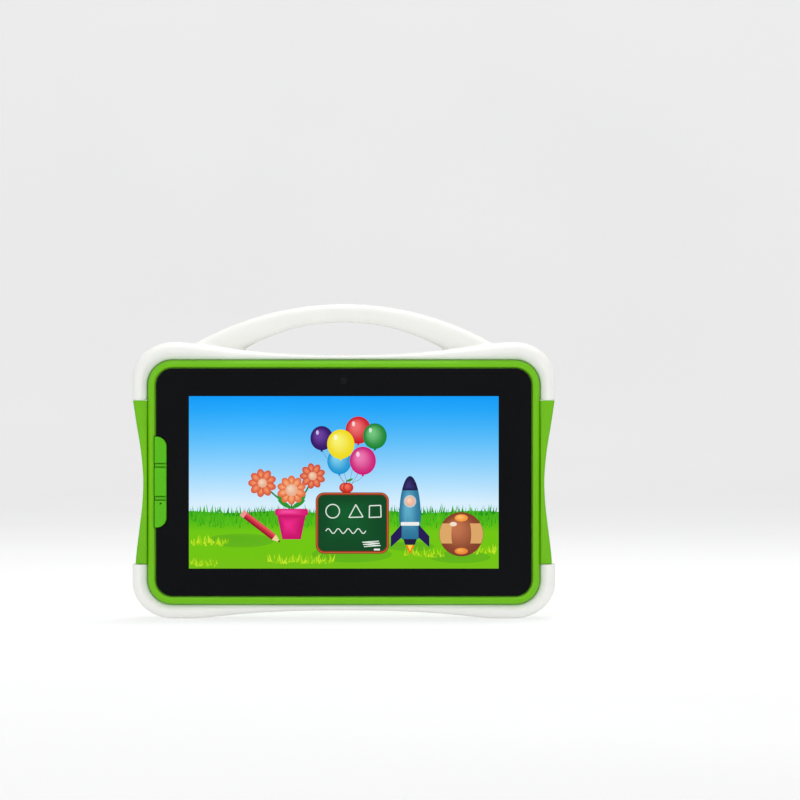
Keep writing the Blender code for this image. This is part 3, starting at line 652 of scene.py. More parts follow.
def make_glass():
    outline = rounded(glass_high.x - glass_low.x, glass_high.z - glass_low.z, GLASS_R, 0, PANEL_Z, 16)
    plate = slab(outline, glass_low.y, glass_high.y, (0.3, 3, glass_low.y))
    plate = carve(plate, ("DIFFERENCE", tab_opening()))
    piece("cover_glass", plate, GLASS, ["touch_glass"])
    window = [(0, -10.23), (1.0, -10.23), (1.35, -10.24), (1.75, -10.24), (1.75, -10.0), (0, -10.0)]
    at = middle("front_camera")
    piece("front_camera_window", turned(window, 0, at.z, 40), CAMERA_BLACK)


def key_section(z0, z1, back, grow=0.0):
    return slab(tab_outline(z0, z1, grow), KEY_FRONT, back, (0.7, 5, KEY_FRONT))


def key_cap(z0, z1, stem_end, stems):
    """A moving section of the tab, with a stem behind it for each switch height in stems."""
    rods = [rod("Y", KEY_STEM_R, KEY_BACK - 0.5, stem_end, (TAB_X, z)) for z in stems]
    return carve(key_section(z0, z1, KEY_BACK), ("UNION", joined(rods)))


def key_rib(z0, z1):
    """The low rib of the carrier that shows in the gap between two sections."""
    x0, x1, front = KEYS_LOW.x + 0.3, KEYS_HIGH.x - 0.3, KEY_FRONT + 0.8
    z0, z1 = z0 + 0.4, z1 - 0.4
    return slab([(x0, z0), (x1, z0), (x1, z1), (x0, z1)], front, -9.4, (0.35, 3, front))


def make_keys():
    power_z = (power_low.z + power_high.z) / 2
    stems = [middle("volume_up_switch").z, middle("volume_down_switch").z]
    rocker = key_cap(rocker_low.z, KEYS_HIGH.z, rocker_high.y, stems)
    piece("volume_rocker_cap", rocker, KEY_PLASTIC, ["volume_rocker"], "volume_rocker")
    power = key_cap(power_low.z, power_high.z, power_high.y, [power_z])
    piece("power_key_cap", power, KEY_PLASTIC, ["power_key"], "power_key")
    base = slab(tab_outline(KEYS_LOW.z, KEYS_HIGH.z), -10.0, KEYS_HIGH.y)
    hole = middle("microphone")
    guides = [rod("Y", KEY_GUIDE_R, -12, -8, (TAB_X, z)) for z in (*stems, power_z)]
    pinhole = [(0, -13), (0.75, -13), (0.75, -12.1), (0.4, -11.9), (0.4, -5), (0, -5)]
    base = carve(
        base,
        ("UNION", key_section(KEYS_LOW.z, MIC_TOP, -9.3, -0.02)),
        ("UNION", joined([key_rib(power_high.z, rocker_low.z), key_rib(MIC_TOP, power_low.z)])),
        ("DIFFERENCE", joined([*guides, turned(pinhole, hole.x, hole.z + 1.5, 24)])),
    )
    piece("key_carrier_skin", base, KEY_PLASTIC, ["key_carrier"])


# ---------- the back

STAND_X, STAND_Z = 0.0, 97.3
POCKET_R, POCKET_FLOOR = 19.1, 4.9
FLAP_Y0, FLAP_Y1 = 7.0, 9.6
SLOT_W, SLOT_H, SLOT_Z = 16.0, 2.8, 82.6
KNUCKLE_BACK_Y = box("kickstand")[0].y
hinge = next(j for j in frame["joints"] if j["name"] == "kickstand_hinge")
HINGE_Y, HINGE_Z = (c / MM for c in hinge["pos_m"][1:])
pin_low, pin_high = box("kickstand_pin_right")
PIN_R = (pin_high.z - pin_low.z) / 2
NOTCH_X0, NOTCH_X1, NOTCH_DROP, NOTCH_RISE = 6.7, 13.4, 2.2, 1.45
KNUCKLE_R, KNUCKLE_X0, KNUCKLE_X1 = 1.15, 7.0, 12.9
SPEAKER = middle("speaker_driver")
GRILLE_RINGS = ((2.65, 8), (4.35, 12), (6.2, 18), (8.0, 23), (9.8, 27), (11.7, 30))
LOBE_X, LOBE_R, LOBE_RISE, LOBE_SLOPE, LOBE_STEPS = 104.5, 68.4, 0.8, 1.8, 216
CAMERA = middle("rear_camera_lens")
FLASH_AT = middle("flash_lens")
PORTS = (("usb_port", 8.4, 3.2), ("audio_jack", 4.2, 4.2), ("card_slot", 12.0, 1.8))


def lobe(side):
    """A faint raised round field at one end of the back, with a soft step for an edge."""
    foot, top = LOBE_R + 1, 9.5 + LOBE_RISE
    profile = [(0, 9.0), (foot, 9.0), (foot, 9.45)]
    profile += [(foot - LOBE_SLOPE * t / 8, 9.5 + LOBE_RISE * smooth(t / 8)) for t in range(1, 9)]
    disc = turned([*profile, (0, top)], side * LOBE_X, PANEL_Z, LOBE_STEPS)
    inset = rounded(PANEL_W - 5.8, PANEL_H - 5.2, PANEL_R - 3.1, 0, PANEL_Z, 16)
    field_top = 9.6 + LOBE_RISE
    return carve(disc, ("INTERSECT", slab(inset, 8.9, field_top, (0.8, 4, field_top))))


def grille_holes():
    holes = []
    for ring, (radius, count) in enumerate(GRILLE_RINGS):
        for i in range(count):
            a = 2 * math.pi * (i + 0.5 * (ring % 2)) / count
            at = (SPEAKER.x + radius * math.cos(a), SPEAKER.z + radius * math.sin(a))
            holes.append(rod("Y", 0.5, 6, 12, at, 12))
    return holes


def span(side, x0, x1):
    """x0 and x1 on one side of the middle, in rising order."""
    return sorted((side * x0, side * x1))


def port_mouth(name, length, thick):
    at = middle(name)
    radius = 0.5 if name == "card_slot" else thick / 2 - 0.01
    mouth = rounded(thick, length, radius, 0, at.z, 8)
    return loft([[(x, p, q) for p, q in mouth] for x in (-100, -94)])


def make_rear_cover():
    width = PANEL_W + 0.2
    outline = rounded(width, PANEL_H, PANEL_R - 0.5, 0, PANEL_Z, 16)
    plate = slab(outline, SEAM_Y + GAP, BACK_Y, (2.0, 6, BACK_Y))
    hollow = slab(rounded(width - 4.8, PANEL_H - 4, PANEL_R - 2.5, 0, PANEL_Z, 12), SEAM_Y - 1, BACK_Y - 2)
    inner = [rod("Y", POCKET_R + 1.6, POCKET_FLOOR - 1.5, BACK_Y - 0.7, (STAND_X, STAND_Z), 80)]
    inner += [rod("Y", 3.0, 0, BACK_Y - 1, (x, z)) for _, x, z in screw_places()]
    collar = [(17.5, 8.6), (23.1, 8.6), (23.1, 9.45), (22.8, 9.6), (22.5, 9.95), (22.2, 10.5), (21.8, 11.05)]
    collar += [(21.4, 11.4), (20.9, 11.6), (20.4, 11.6), (19.9, 11.35), (19.4, 10.9), (17.5, 9.4)]
    notches, pin_holes = [], []
    for side in (-1, 1):
        near, far = span(side, NOTCH_X0, NOTCH_X1)
        notches.append(brick((near, KNUCKLE_BACK_Y, HINGE_Z - NOTCH_DROP), (far, 14, HINGE_Z + NOTCH_RISE)))
        pin_holes.append(rod("X", PIN_R + 0.1, *span(side, 5, pin_high.x + GAP), (HINGE_Y, HINGE_Z), 24))
    seat = [(0, -2), (1.2, -2), (1.2, BACK_Y - 1.8), (2.1, BACK_Y - 1.8), (2.1, 9.9), (2.4, 10.3), (2.4, 12)]
    holes = [turned([*seat, (0, 12)], x, z, 32) for _, x, z in screw_places()]
    lens_hole = [(0, 6), (4.4, 6), (4.4, 9.8), (4.8, 10.3), (4.8, 12), (0, 12)]
    holes.append(turned(lens_hole, CAMERA.x, CAMERA.z, 48))
    holes.append(slab(rounded(3.6, 5.3, 1.79, FLASH_AT.x, FLASH_AT.z, 10), 6, 12))
    holes += grille_holes() + [port_mouth(*port) for port in PORTS]
    grille_dot = [(0, 8), (0.7, 8), (0.7, 10.2), (0.5, 10.4), (0, 10.45)]
    shell = carve(
        plate,
        ("DIFFERENCE", hollow),
        ("UNION", joined([lobe(-1), lobe(1), *inner])),
        ("UNION", turned(collar, STAND_X, STAND_Z, 120)),
        ("DIFFERENCE", rod("Y", POCKET_R, POCKET_FLOOR, 14, (STAND_X, STAND_Z), 120)),
        ("DIFFERENCE", joined(notches)),
        ("DIFFERENCE", joined(pin_holes)),
        ("DIFFERENCE", joined(holes)),
        ("UNION", turned(grille_dot, SPEAKER.x, SPEAKER.z, 24)),
    )
    piece("rear_cover_skin", shell, COVER_PLASTIC, ["rear_cover"], crease=28)


def make_kickstand():
    """The round flap: a soft rim, a finger slot low down, and two knuckles."""
    disc = slab(circle(POCKET_R - GAP, STAND_X, STAND_Z, 120), FLAP_Y0, FLAP_Y1, (0.8, 5, FLAP_Y1))
    slot = rounded(SLOT_W, SLOT_H, SLOT_H / 2 - 0.01, 0, SLOT_Z, 10)
    lip = rounded(SLOT_W + 1.2, SLOT_H + 1.2, SLOT_H / 2 + 0.59, 0, SLOT_Z, 10)
    at = (HINGE_Y, HINGE_Z)
    knuckles, bores = [], []
    for side in (-1, 1):
        knuckles.append(rod("X", KNUCKLE_R, *span(side, KNUCKLE_X0, KNUCKLE_X1), at, 40))
        bores.append(rod("X", PIN_R + 0.08, *span(side, pin_low.x - GAP, NOTCH_X1 + 1), at, 24))
    flap = carve(
        disc,
        ("UNION", joined(knuckles)),
        ("DIFFERENCE", joined(bores)),
        ("DIFFERENCE", slab(slot, 4, 12)),
        ("DIFFERENCE", slab(lip, FLAP_Y1 - 0.25, 12)),
    )
    piece("kickstand_flap", flap, STAND_PLASTIC, ["kickstand"], "kickstand")


def make_screws():
    """Pan heads with a cross recess, sunk in the cover."""
    top, half_long, half_thin = BACK_Y - 0.3, 1.05, 0.22
    profile = [(0, -6.5), (0.5, -6.5), (0.9, -5.9), (0.9, top - 1.2), (1.75, top - 1.2), (1.75, top - 0.5)]
    profile += [(1.6, top - 0.2), (1.2, top - 0.04), (0, top)]
    for name, x, z in screw_places():
        cuts = []
        for dx, dz in ((half_long, half_thin), (half_thin, half_long)):
            cuts.append(("DIFFERENCE", brick((x - dx, top - 0.7, z - dz), (x + dx, top + 1, z + dz))))
        screw = carve(turned(profile, x, z, 40), *cuts)
        piece(f"cross_screw_{name}", screw, STEEL, [f"cover_screw_{name}"])


def make_rear_camera():
    x, z = CAMERA.x, CAMERA.z
    ring = [(2.75, 8.4), (2.75, 9.9), (3.0, 10.25), (3.3, 10.4), (3.7, 10.4), (3.95, 10.3), (4.1, 10.05)]
    ring += [(4.1, 6.9), (2.2, 6.9), (2.2, 8.4)]
    piece("rear_camera_trim", turned(ring, x, z, 64), CAMERA_BLACK, ["rear_camera_ring"])
    dome = [(0, 8.7), (2.6, 8.7), (2.6, 9.3), (2.4, 9.5), (1.6, 9.6), (1.5, 9.42), (0.95, 9.42), (0.8, 9.25)]
    dome += [(0.5, 9.3), (0, 9.33)]
    piece("rear_camera_glass", turned(dome, x, z, 64), LENS, ["rear_camera_lens"])
    outline = rounded(3.0, 4.7, 1.49, FLASH_AT.x, FLASH_AT.z, 12)
    window = slab(outline, 7.9, 10.3, (0.35, 4, 10.3))
    piece("flash_window", window, FLASH, ["flash_lens"])


# ---------- the picture on the screen

SCREEN_W, SCREEN_H, SCREEN_Z = 154.2, 85.8, 67.85
LEVEL = 0.02
HORIZON = 54.35


class Sheet:
    """A flat part of the picture: thin coloured slabs in front of the glass, gathered into one mesh."""

    def __init__(self, name):
        self.name, self.verts, self.faces, self.tints = name, [], [], []

    def slab(self, outline, level, tint, centre=None, core=None):
        """centre and core give the place and colour of a highlight that fades out to the rim."""
        back, front = glass_low.y - LEVEL * (level - 1), glass_low.y - LEVEL * level
        start, size = len(self.verts), len(outline)
        rim = tone(*tint)
        for y in (back, front):
            self.verts += [(x, y, z) for x, z in outline]
        self.add(tuple(range(start, start + size)), rim)
        for j in range(size):
            k = (j + 1) % size
            self.add((start + j, start + k, start + size + k, start + size + j), rim)
        if centre is None:
            self.add(tuple(range(start + 2 * size - 1, start + size - 1, -1)), rim)
            return
        inner = tone(*core)
        previous, tones = start + size, [rim]
        steps = 4
        for i in range(1, steps):
            t = i / steps
            ring = len(self.verts)
            self.verts += [(x + (centre[0] - x) * t, front, z + (centre[1] - z) * t) for x, z in outline]
            tones.append(tuple(a + (b - a) * smooth(t) for a, b in zip(rim, inner)))
            for j in range(size):
                k = (j + 1) % size
                self.add((previous + j, ring + j, ring + k, previous + k), tones[-2], tones[-1])
            previous = ring
        peak = len(self.verts)
        self.verts.append((centre[0], front, centre[1]))
        for j in range(size):
            self.faces.append((previous + j, peak, previous + (j + 1) % size))
            self.tints += [tones[-1], inner, tones[-1]]

    def add(self, face, tint, second=None):
        self.faces.append(face)
        if second is None:
            self.tints += [tint] * len(face)
        else:
            self.tints += [tint, second, second, tint]

    def disc(self, x, z, radius, level, tint, core=None, squash=1.0, steps=40):
        outline = arc(x, z, radius, radius * squash, 0, 360, steps)[:-1]
        centre = (x - radius * 0.32, z + radius * squash * 0.36) if core else None
        self.slab(outline, level, tint, centre, core)

    def stroke(self, points, width, level, tint):
        """A line of even width through the points, as one slab for each stretch."""
        for (x0, z0), (x1, z1) in zip(points, points[1:]):
            length = math.hypot(x1 - x0, z1 - z0)
            nx, nz = -(z1 - z0) / length * width / 2, (x1 - x0) / length * width / 2
            corners = [(x0 + nx, z0 + nz), (x0 - nx, z0 - nz), (x1 - nx, z1 - nz), (x1 + nx, z1 + nz)]
            self.slab(corners, level, tint)

    def finish(self, look):
        mesh = bpy.data.meshes.new(self.name)
        mesh.from_pydata(self.verts, [], self.faces)
        tint = mesh.color_attributes.new("tint", "FLOAT_COLOR", "CORNER")
        for corner, colour in zip(tint.data, self.tints):
            corner.color = colour
        piece(self.name, mesh, look, crease=20)


def petals(sheet, x, z, radius, count, level, tint, core):
    for i in range(count):
        a = 2 * math.pi * (i + 0.5) / count
        px, pz = x + radius * 0.62 * math.cos(a), z + radius * 0.62 * math.sin(a)
        outline = []
        for b in spread(20):
            u, v = radius * 0.46 * math.cos(b), radius * 0.3 * math.sin(b)
            outline.append((px + u * math.cos(a) - v * math.sin(a), pz + u * math.sin(a) + v * math.cos(a)))
        sheet.slab(outline, level + 0.3 * (i % 2), tint, (px - 0.2, pz + 0.2), core)


def leaf(x, z, angle, length, width):
    a = math.radians(angle)
    side = bezier((0, 0), (length * 0.3, width), (length * 0.7, width * 0.8), (length, 0), 8)
    shape = side + [(u, -v) for u, v in reversed(side[1:-1])]
    return [(x + u * math.cos(a) - v * math.sin(a), z + u * math.sin(a) + v * math.cos(a)) for u, v in shape]


def blades(sheet, draws, start, run, count, height, lean, base_z, drop, half_width, greens, reach):
    """Blades of grass along a run of the meadow, none of them leaning past reach. height, lean and drop are
    ranges in millimetres."""
    for i in range(count):
        x = start + run * (i + draws.random()) / count
        tall, side, base = draws.uniform(*height), draws.uniform(*lean), base_z + draws.uniform(*drop)
        green = draws.choice(greens)
        tip = min(max(x + side, -reach), reach)
        outline = [(x - half_width, base), (x + half_width, base), (tip, base + tall)]
        sheet.slab(outline, 3 + 0.1 * (i % 4), green)


def draw_ground(tinted):
    half, low, high = SCREEN_W / 2, SCREEN_Z - SCREEN_H / 2, SCREEN_Z + SCREEN_H / 2
    top, pale = (4, 157, 252), (216, 240, 255)
    run = [(i / 7, tuple(round(a + (b - a) * i / 7) for a, b in zip(pale, top))) for i in range(8)]
    sky = Sheet("screen_sky")
    sky.slab([(-half, low), (half, low), (half, high), (-half, high)], 1, pale)
    sky.finish(lit_picture("picture_sky", (HORIZON + 3, high, run)))
    meadow = Sheet("screen_meadow")
    ridge = [(half - SCREEN_W * i / 40, HORIZON - 1.2 + 0.5 * math.sin(i * 0.5)) for i in range(41)]
    meadow.slab([(-half, low), (half, low), *ridge], 2, (90, 190, 12))
    shades = [(0.0, (118, 196, 14)), (0.25, (114, 200, 2)), (0.62, (113, 201, 4)), (0.8, (82, 188, 8))]
    shades += [(1.0, (58, 172, 20))]
    meadow.finish(lit_picture("picture_meadow", (low, HORIZON, shades)))
    draws = random.Random(4)
    grass = Sheet("screen_grass")
    dark = ((34, 156, 12), (52, 172, 16), (76, 186, 22), (24, 138, 12))
    fresh = ((58, 172, 16), (46, 160, 14), (92, 196, 14), (74, 186, 14))
    pale_tips = ((178, 226, 18), (150, 214, 14), (196, 232, 40), (128, 200, 10))
    across = (grass, draws, -half + 1, SCREEN_W - 2)
    blades(*across, 260, (2.2, 4.6), (-1.4, 1.4), HORIZON, (-1.2, -3.6), 0.4, dark, half)
    blades(*across, 300, (2.5, 5.5), (-1.0, 1.0), HORIZON, (-5.0, -9.5), 0.3, fresh, half)
    tufts = ((-76, -58, 37, 44), (-76, -63, 26.5, 32), (-38, -5, 28, 60), (54, 76, 33, 50), (30, 50, 31, 34))
    for x0, x1, z, count in tufts:
        along = (grass, draws, x0, x1 - x0)
        blades(*along, count, (2.0, 4.6), (-1.5, 1.5), z, (-1.0, 1.0), 0.5, pale_tips, half - 0.2)
    for x, z, wide in ((-51.5, 38.9, 17), (4, 32, 20), (33, 36.0, 12), (58, 30.6, 15)):
        grass.disc(x, z, wide, 2.6, (99, 184, 16), (96, 180, 18), 0.2, 48)
    grass.finish(tinted)


def draw_balloons(tinted):
    sheet = Sheet("screen_balloons")
    knot = (2.2, 63.5)
    balloons = (
        (-11.0, 89.85, 5.6, (44, 8, 96), (112, 66, 168)),
        (7.25, 93.85, 6.3, (206, 4, 34), (246, 120, 120)),
        (15.5, 90.85, 5.9, (0, 130, 46), (120, 206, 130)),
        (-2.2, 78.35, 6.0, (0, 150, 214), (130, 216, 246)),
        (9.5, 78.6, 6.5, (206, 8, 118), (244, 128, 186)),
        (-1.5, 86.85, 6.8, (244, 222, 0), (255, 250, 120)),
    )
    for order, (x, z, radius, tint, glow) in enumerate(balloons):
        tail = z - radius * 1.12
        string = bezier((x, tail), (x * 0.8 + 0.4, tail - 4), (knot[0] + (x - knot[0]) * 0.2, 70), knot, 8)
        sheet.stroke(string, 0.2, 3.2, (120, 130, 150))
        level = 4 + order * 0.5
        sheet.slab([(x - 0.7, tail - 0.4), (x + 0.7, tail - 0.4), (x, tail + 1.2)], level, tint)
        sheet.disc(x, z, radius, level, tint, glow, 1.08, 48)
        outline = arc(x - radius * 0.38, z + radius * 0.5, radius * 0.13, radius * 0.2, 0, 360, 16)[:-1]
        sheet.slab(outline, level + 0.2, tuple((c + 2 * 255) // 3 for c in glow))
    sheet.finish(tinted)


def draw_board(tinted):
    """A framed chalk board with plain shapes on it, and an apple on its top edge."""
    sheet = Sheet("screen_board")
    x0, x1, z0, z1 = -14.0, 22.5, 32.35, 62.85
    cx, cz = (x0 + x1) / 2, (z0 + z1) / 2
    rims = ((0, 4.2, 5, (112, 34, 18)), (0.6, 4.0, 5.5, (202, 92, 52)), (1.8, 3.4, 5.7, (134, 44, 26)))
    for inset, radius, level, tint in rims:
        sheet.slab(rounded(x1 - x0 - inset, z1 - z0 - inset, radius, cx, cz, 10), level, tint)
    slate = rounded(x1 - x0 - 2.6, z1 - z0 - 2.6, 3.0, cx, cz, 10)
    sheet.slab(slate, 6, (8, 70, 32), (cx - 4, cz + 5), (10, 92, 42))
    ring = arc(-5.5, 53.5, 3.4, 3.4, 20, 385, 22)
    triangle = [(2.6, 50.4), (9.6, 50.6), (6.0, 56.8), (2.5, 50.2)]
    square = [(12.6, 50.4), (18.6, 50.6), (18.4, 56.4), (12.8, 56.2), (12.7, 50.2)]
    wave = [(-9 + 20 * i / 24, 43.6 + 1.3 * math.sin(i * 1.05)) for i in range(25)]
    scribble = [(9.0 + (0 if i % 2 else 8.5) + i * 0.2, 38.6 - 0.55 * i) for i in range(6)]
    for mark, width in ((ring, 0.55), (triangle, 0.55), (square, 0.55), (wave, 0.5), (scribble, 0.45)):
        sheet.stroke(mark, width, 7, (226, 236, 226))
    sheet.stroke([(15, 34.4), (18, 34.4)], 0.9, 7, (240, 240, 235))
    sheet.disc(0.4, 65.2, 2.6, 7, (186, 22, 16), (246, 120, 96), 0.95)
    sheet.disc(2.2, 65.2, 2.6, 7.2, (204, 26, 20), (248, 120, 96), 0.95)
    sheet.stroke([(1.3, 67.2), (1.7, 69.2)], 0.4, 7.4, (86, 52, 20))
    sheet.slab(leaf(1.6, 68.3, 25, 3.4, 0.9), 7.5, (40, 150, 40))
    sheet.finish(tinted)


def draw_flower(tinted):
    """A potted flower with three blooms."""
    sheet = Sheet("screen_flower")
    cx = -26.0
    for x, z, bend in ((cx, 64.0, 0.0), (cx - 14.5, 67.5, -8.0), (cx + 10.5, 71.0, 7.0)):
        stem = bezier((cx, 53), (cx + bend * 0.3, 58), (cx + bend, 60), (x, z), 10)
        sheet.stroke(stem, 0.8, 4, (34, 128, 40))
    leaves = ((cx, 55, 150, 8), (cx, 55, 30, 8), (cx - 4, 57, 120, 6), (cx + 4, 57.5, 60, 6))
    for x, z, angle, length in leaves:
        sheet.slab(leaf(x, z, angle, length, 1.7), 4.3, (46, 150, 48))
    blooms = (
        (cx - 14.5, 67.5, 6.6, 9, 4.6, (214, 84, 52), (248, 150, 104), 2.3),
        (cx + 10.5, 71.0, 6.0, 9, 4.6, (206, 76, 50), (246, 142, 100), 2.1),
        (cx, 64.0, 6.8, 10, 5.4, (226, 104, 60), (252, 172, 120), 3.1),
    )
    for bloom in blooms:
        petals(sheet, *bloom[:-1])
    for x, z, *_, eye in blooms:
        sheet.disc(x, z, eye, 6.2, (232, 172, 140), (250, 214, 186))
    pot = [(cx - 4.6, 39.5), (cx + 4.6, 39.5), (cx + 7.2, 52.0), (cx - 7.2, 52.0)]
    sheet.slab(pot, 5, (196, 6, 100), (cx - 2, 47), (240, 40, 138))
    sheet.slab(rounded(16.4, 3.4, 1.0, cx, 53.0, 6), 5.5, (214, 10, 112), (cx - 3, 53.4), (250, 80, 164))
    sheet.finish(tinted)


def draw_pencil(tinted):
    pencil = Sheet("screen_pencil")
    start, end, cone = Vector((-49.0, 51.4)), Vector((-31.5, 38.0)), 4.2
    along = (end - start).normalized()
    across = Vector((-along.y, along.x)) * 1.7
    length = (end - start).length
    strips = (
        (0, length - cone, -1, -0.33, (150, 22, 44)),
        (0, length - cone, -0.33, 0.33, (206, 44, 62)),
        (0, length - cone, 0.33, 1, (232, 84, 92)),
        (-2.2, 0, -1, 1, (236, 150, 150)),
    )
    for t0, t1, w0, w1, tint in strips:
        a, b = start + along * t0, start + along * t1
        corners = [a + across * w0, a + across * w1, b + across * w1, b + across * w0]
        pencil.slab([tuple(c) for c in corners], 4, tint)
    tip, base = start + along * length, start + along * (length - cone)
    pencil.slab([tuple(base + across), tuple(base - across), tuple(tip)], 4, (244, 212, 160))
    nib = tip - along * 1.3
    pencil.slab([tuple(nib + across * 0.33), tuple(nib - across * 0.33), tuple(tip)], 4.4, (60, 30, 30))
    pencil.finish(tinted)


def draw_rocket(tinted):
    rocket = Sheet("screen_rocket")
    cx = 33.0
    hull = arc(cx, 50, 5.4, 21, 0, 180, 24) + [(cx - 4.2, 39.5), (cx + 4.2, 39.5)]
    rocket.slab(hull, 5, (36, 112, 150), (cx - 1.6, 56), (96, 178, 206))
    nose = [(x, z) for x, z in arc(cx, 50, 5.4, 21, 0, 180, 48) if z > 63.6]
    rocket.slab(nose, 5.5, (24, 18, 66), (cx - 1, 66), (58, 48, 118))
    for side in (-1, 1):
        fin = [(4.2, 47), (9.6, 41), (9.6, 35.6), (4.2, 40.4)]
        rocket.slab([(cx + side * x, z) for x, z in fin[::-side]], 5.2, (34, 20, 84))
    rocket.slab([(cx - 3.4, 39.6), (cx + 3.4, 39.6), (cx + 2.4, 36.8), (cx - 2.4, 36.8)], 5.4, (30, 24, 60))
    rocket.disc(cx, 58.4, 3.1, 6, (190, 196, 200), (236, 240, 242))
    rocket.disc(cx, 58.4, 2.3, 6.5, (236, 178, 146), (252, 214, 190))
    rocket.slab(rounded(9.2, 1.8, 0.4, cx, 47.2, 4), 6, (240, 240, 236))
    for k, (wide, drop, tint) in enumerate(((2.3, 4.6, (244, 120, 20)), (1.3, 3.0, (255, 216, 70)))):
        flame = [(cx - wide, 36.6), (cx, 36.6 - drop), (cx + wide, 36.6)]
        rocket.slab(flame, 5 + 0.5 * k, tint)
    rocket.finish(tinted)


def draw_ball(tinted):
    ball = Sheet("screen_ball")
    x, z, radius = 58.5, 42.0, 11.0
    ball.disc(x, z, radius, 5, (128, 60, 36), (198, 118, 78), 1.0, 64)
    for low, high in ((150, 205), (-25, 30)):
        rim = arc(x, z, radius * 0.985, radius * 0.985, low, high, 16)
        inner = arc(x, z, radius * 0.45, radius * 0.985, high, low, 16)
        ball.slab(rim + inner, 5.5, (222, 168, 104))
    ball.disc(x, z + radius * 0.74, radius * 0.3, 5.6, (244, 150, 52), (255, 196, 110), 0.55)
    ball.disc(x, z - radius * 0.76, radius * 0.3, 5.6, (232, 132, 44), (250, 176, 92), 0.5)
    outline = arc(x - radius * 0.36, z + radius * 0.46, radius * 0.16, radius * 0.1, 0, 360, 16)[:-1]
    ball.slab(outline, 6, (246, 226, 206))
    ball.finish(tinted)


def make_picture():
    tinted = lit_picture("picture_tints")
    for draw in (draw_ground, draw_balloons, draw_board, draw_flower, draw_pencil, draw_rocket, draw_ball):
        draw(tinted)


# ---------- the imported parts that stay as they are

CARRIED = {
    "display_panel": moulded("display_cell", tone(30, 40, 56), 0.12, 1.0, 0.001, 0.1, coat=0.6),
    "backlight_tray": moulded("tray_metal", tone(186, 187, 189), 0.34, 0.6, 0.004, 0.04, metal=1.0),
    "chassis": moulded("chassis_metal", tone(170, 172, 174), 0.4, 0.5, 0.006, 0.05, metal=1.0),
    "main_board": moulded("solder_mask", tone(12, 84, 48), 0.4, 0.8, 0.01, 0.18, coat=0.3),
    "shield_can": moulded("tin", tone(206, 207, 210), 0.28, 0.8, 0.004, 0.05, metal=1.0),
    "battery": moulded("battery_wrap", tone(176, 180, 186), 0.38, 3.0, 0.03, 0.04),
    "antenna": moulded("antenna_film", tone(196, 132, 52), 0.3, 0.8, 0.004, 0.08, metal=0.5),
    "display_flex": moulded("flex_film", tone(176, 98, 24), 0.35, 0.8, 0.004, 0.08, coat=0.3),
    "speaker_driver": BLACK_PLASTIC,
    "speaker_gasket": moulded("foam", tone(34, 34, 35), 0.95, 0.25, 0.12, 0.15),
    "rear_camera_module": CAMERA_BLACK,
    "front_camera": CAMERA_BLACK,
    "flash_led": moulded("led", tone(226, 206, 90), 0.35, 0.3, 0.01, 0.05),
    "usb_port": PORT_METAL,
}
CARRIED["touch_flex"] = CARRIED["display_flex"]
CARRIED["key_board"] = CARRIED["main_board"]
SWITCHES = ("volume_up_switch", "volume_down_switch", "power_switch")
for name in (*SWITCHES, "microphone", "card_slot", "audio_jack"):
    CARRIED[name] = BLACK_PLASTIC
for pin in ("kickstand_pin_left", "kickstand_pin_right"):
    CARRIED[pin] = STEEL


def dress_carried():
    for name, look in CARRIED.items():
        slots = frame["nodes"][name].material_slots
        for slot in slots:
            slot.material = look
        if not slots:
            frame["nodes"][name].data.materials.append(look)


# ---------- floor, light and camera

# What the lights aim at, where the camera stands, both in metres, and how strongly the paper glows
SUBJECT = Vector((0.0, 0.0, 0.0679))
VIEW_FROM, LENS_MM, SENSOR_MM = (0.028, -2.4, 0.10885), 216.0, 36.0
GLOW = 0.52


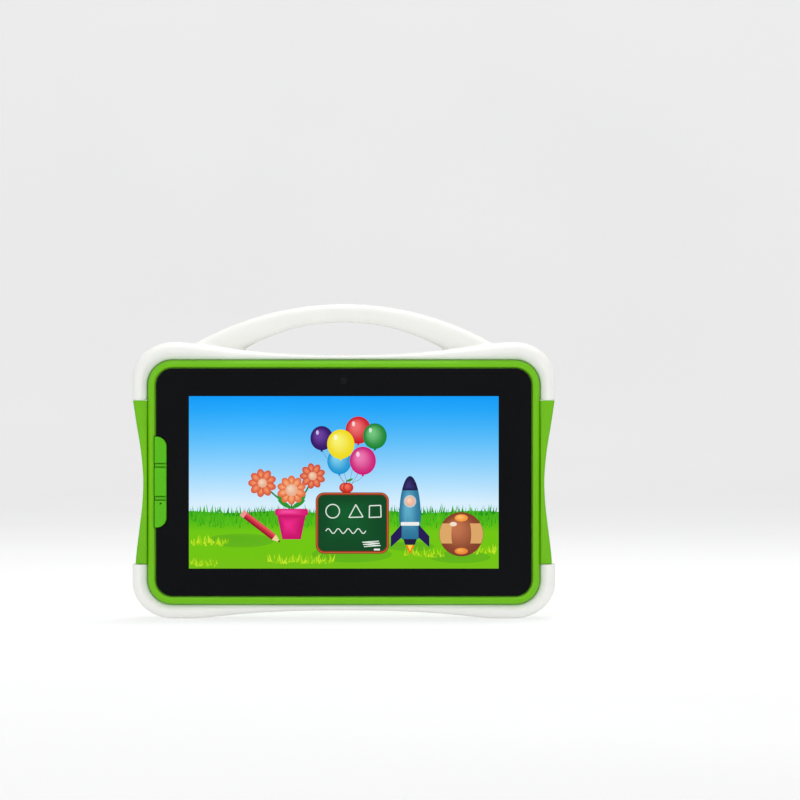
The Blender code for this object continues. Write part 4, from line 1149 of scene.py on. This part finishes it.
def make_stage():
    """One seamless bowl: a floor that curves up into a wall all round. Gloss doesn't reflect it."""
    reach, bend, height, steps = 4.0, 1.0, 3.6, 96
    profile = [(0.0, 0.0), (reach - bend, 0.0)]
    profile += [(reach - bend + bend * math.sin(a), bend * (1 - math.cos(a))) for a in quarter(16)]
    profile += [(reach, height)]
    verts = [(r * math.cos(a), r * math.sin(a), z) for r, z in profile for a in spread(steps)]
    mesh = mesh_of(verts, ring_faces(len(profile), steps, False), "seamless_floor")
    mesh.shade_smooth()
    look, tree, shader = new_material("pale_paper")
    tint = ramp(tree, noise(tree, 0.4), (0.45, 0.45, 0.45, 1), (0.48, 0.48, 0.48, 1))
    set_inputs(shader, {"Base Color": tint, "Roughness": 0.9, "Specular IOR Level": 0.1})
    set_inputs(shader, {"Emission Color": (1.0, 1.0, 1.0, 1.0), "Emission Strength": GLOW})
    mesh.materials.append(look)
    floor = into_scene("seamless_floor", mesh)
    floor.visible_glossy = False


def area_light(name, place, target, size, watts, size_y=None):
    data = bpy.data.lights.new(name, "AREA")
    data.shape = "RECTANGLE"
    data.size, data.size_y = size, size_y or size
    data.energy = watts
    lamp = into_scene(name, data)
    lamp.location = place
    lamp.rotation_euler = (Vector(target) - Vector(place)).to_track_quat("-Z", "Y").to_euler()


def make_lights():
    world = bpy.data.worlds.new("studio")
    world.use_nodes = True
    set_inputs(world.node_tree.nodes["Background"], {"Color": (0.95, 0.97, 1.0, 1), "Strength": 0.12})
    bpy.context.scene.world = world
    area_light("top_soft", (0.0, -0.7, 1.6), SUBJECT, 1.4, 3.5)
    area_light("crown_strip", (0.0, 0.0, 1.15), SUBJECT, 1.5, 3, 0.4)
    area_light("left_soft", (-1.6, -1.3, 0.8), SUBJECT, 1.0, 4.5)
    area_light("right_soft", (1.6, -1.3, 0.8), SUBJECT, 1.0, 3.5)
    area_light("back_soft", (0.25, 0.6, 1.5), SUBJECT, 0.8, 8)
    area_light("overhead", (0.0, 0.0, 3.3), (0.0, 0.0, 0.0), 4.5, 28)


def make_camera():
    data = bpy.data.cameras.new("front")
    data.lens, data.sensor_width = LENS_MM, SENSOR_MM
    data.clip_start, data.clip_end = 0.1, 20.0
    camera = into_scene("front", data)
    camera.location = VIEW_FROM
    camera.rotation_euler = (math.radians(90), 0, 0)
    bpy.context.scene.camera = camera
    bpy.context.scene.view_settings.view_transform = "Standard"


make_bumpers()
make_grips()
make_bezel()
make_glass()
make_keys()
make_rear_cover()
make_kickstand()
make_screws()
make_rear_camera()
make_picture()
dress_carried()
make_stage()
make_lights()
make_camera()
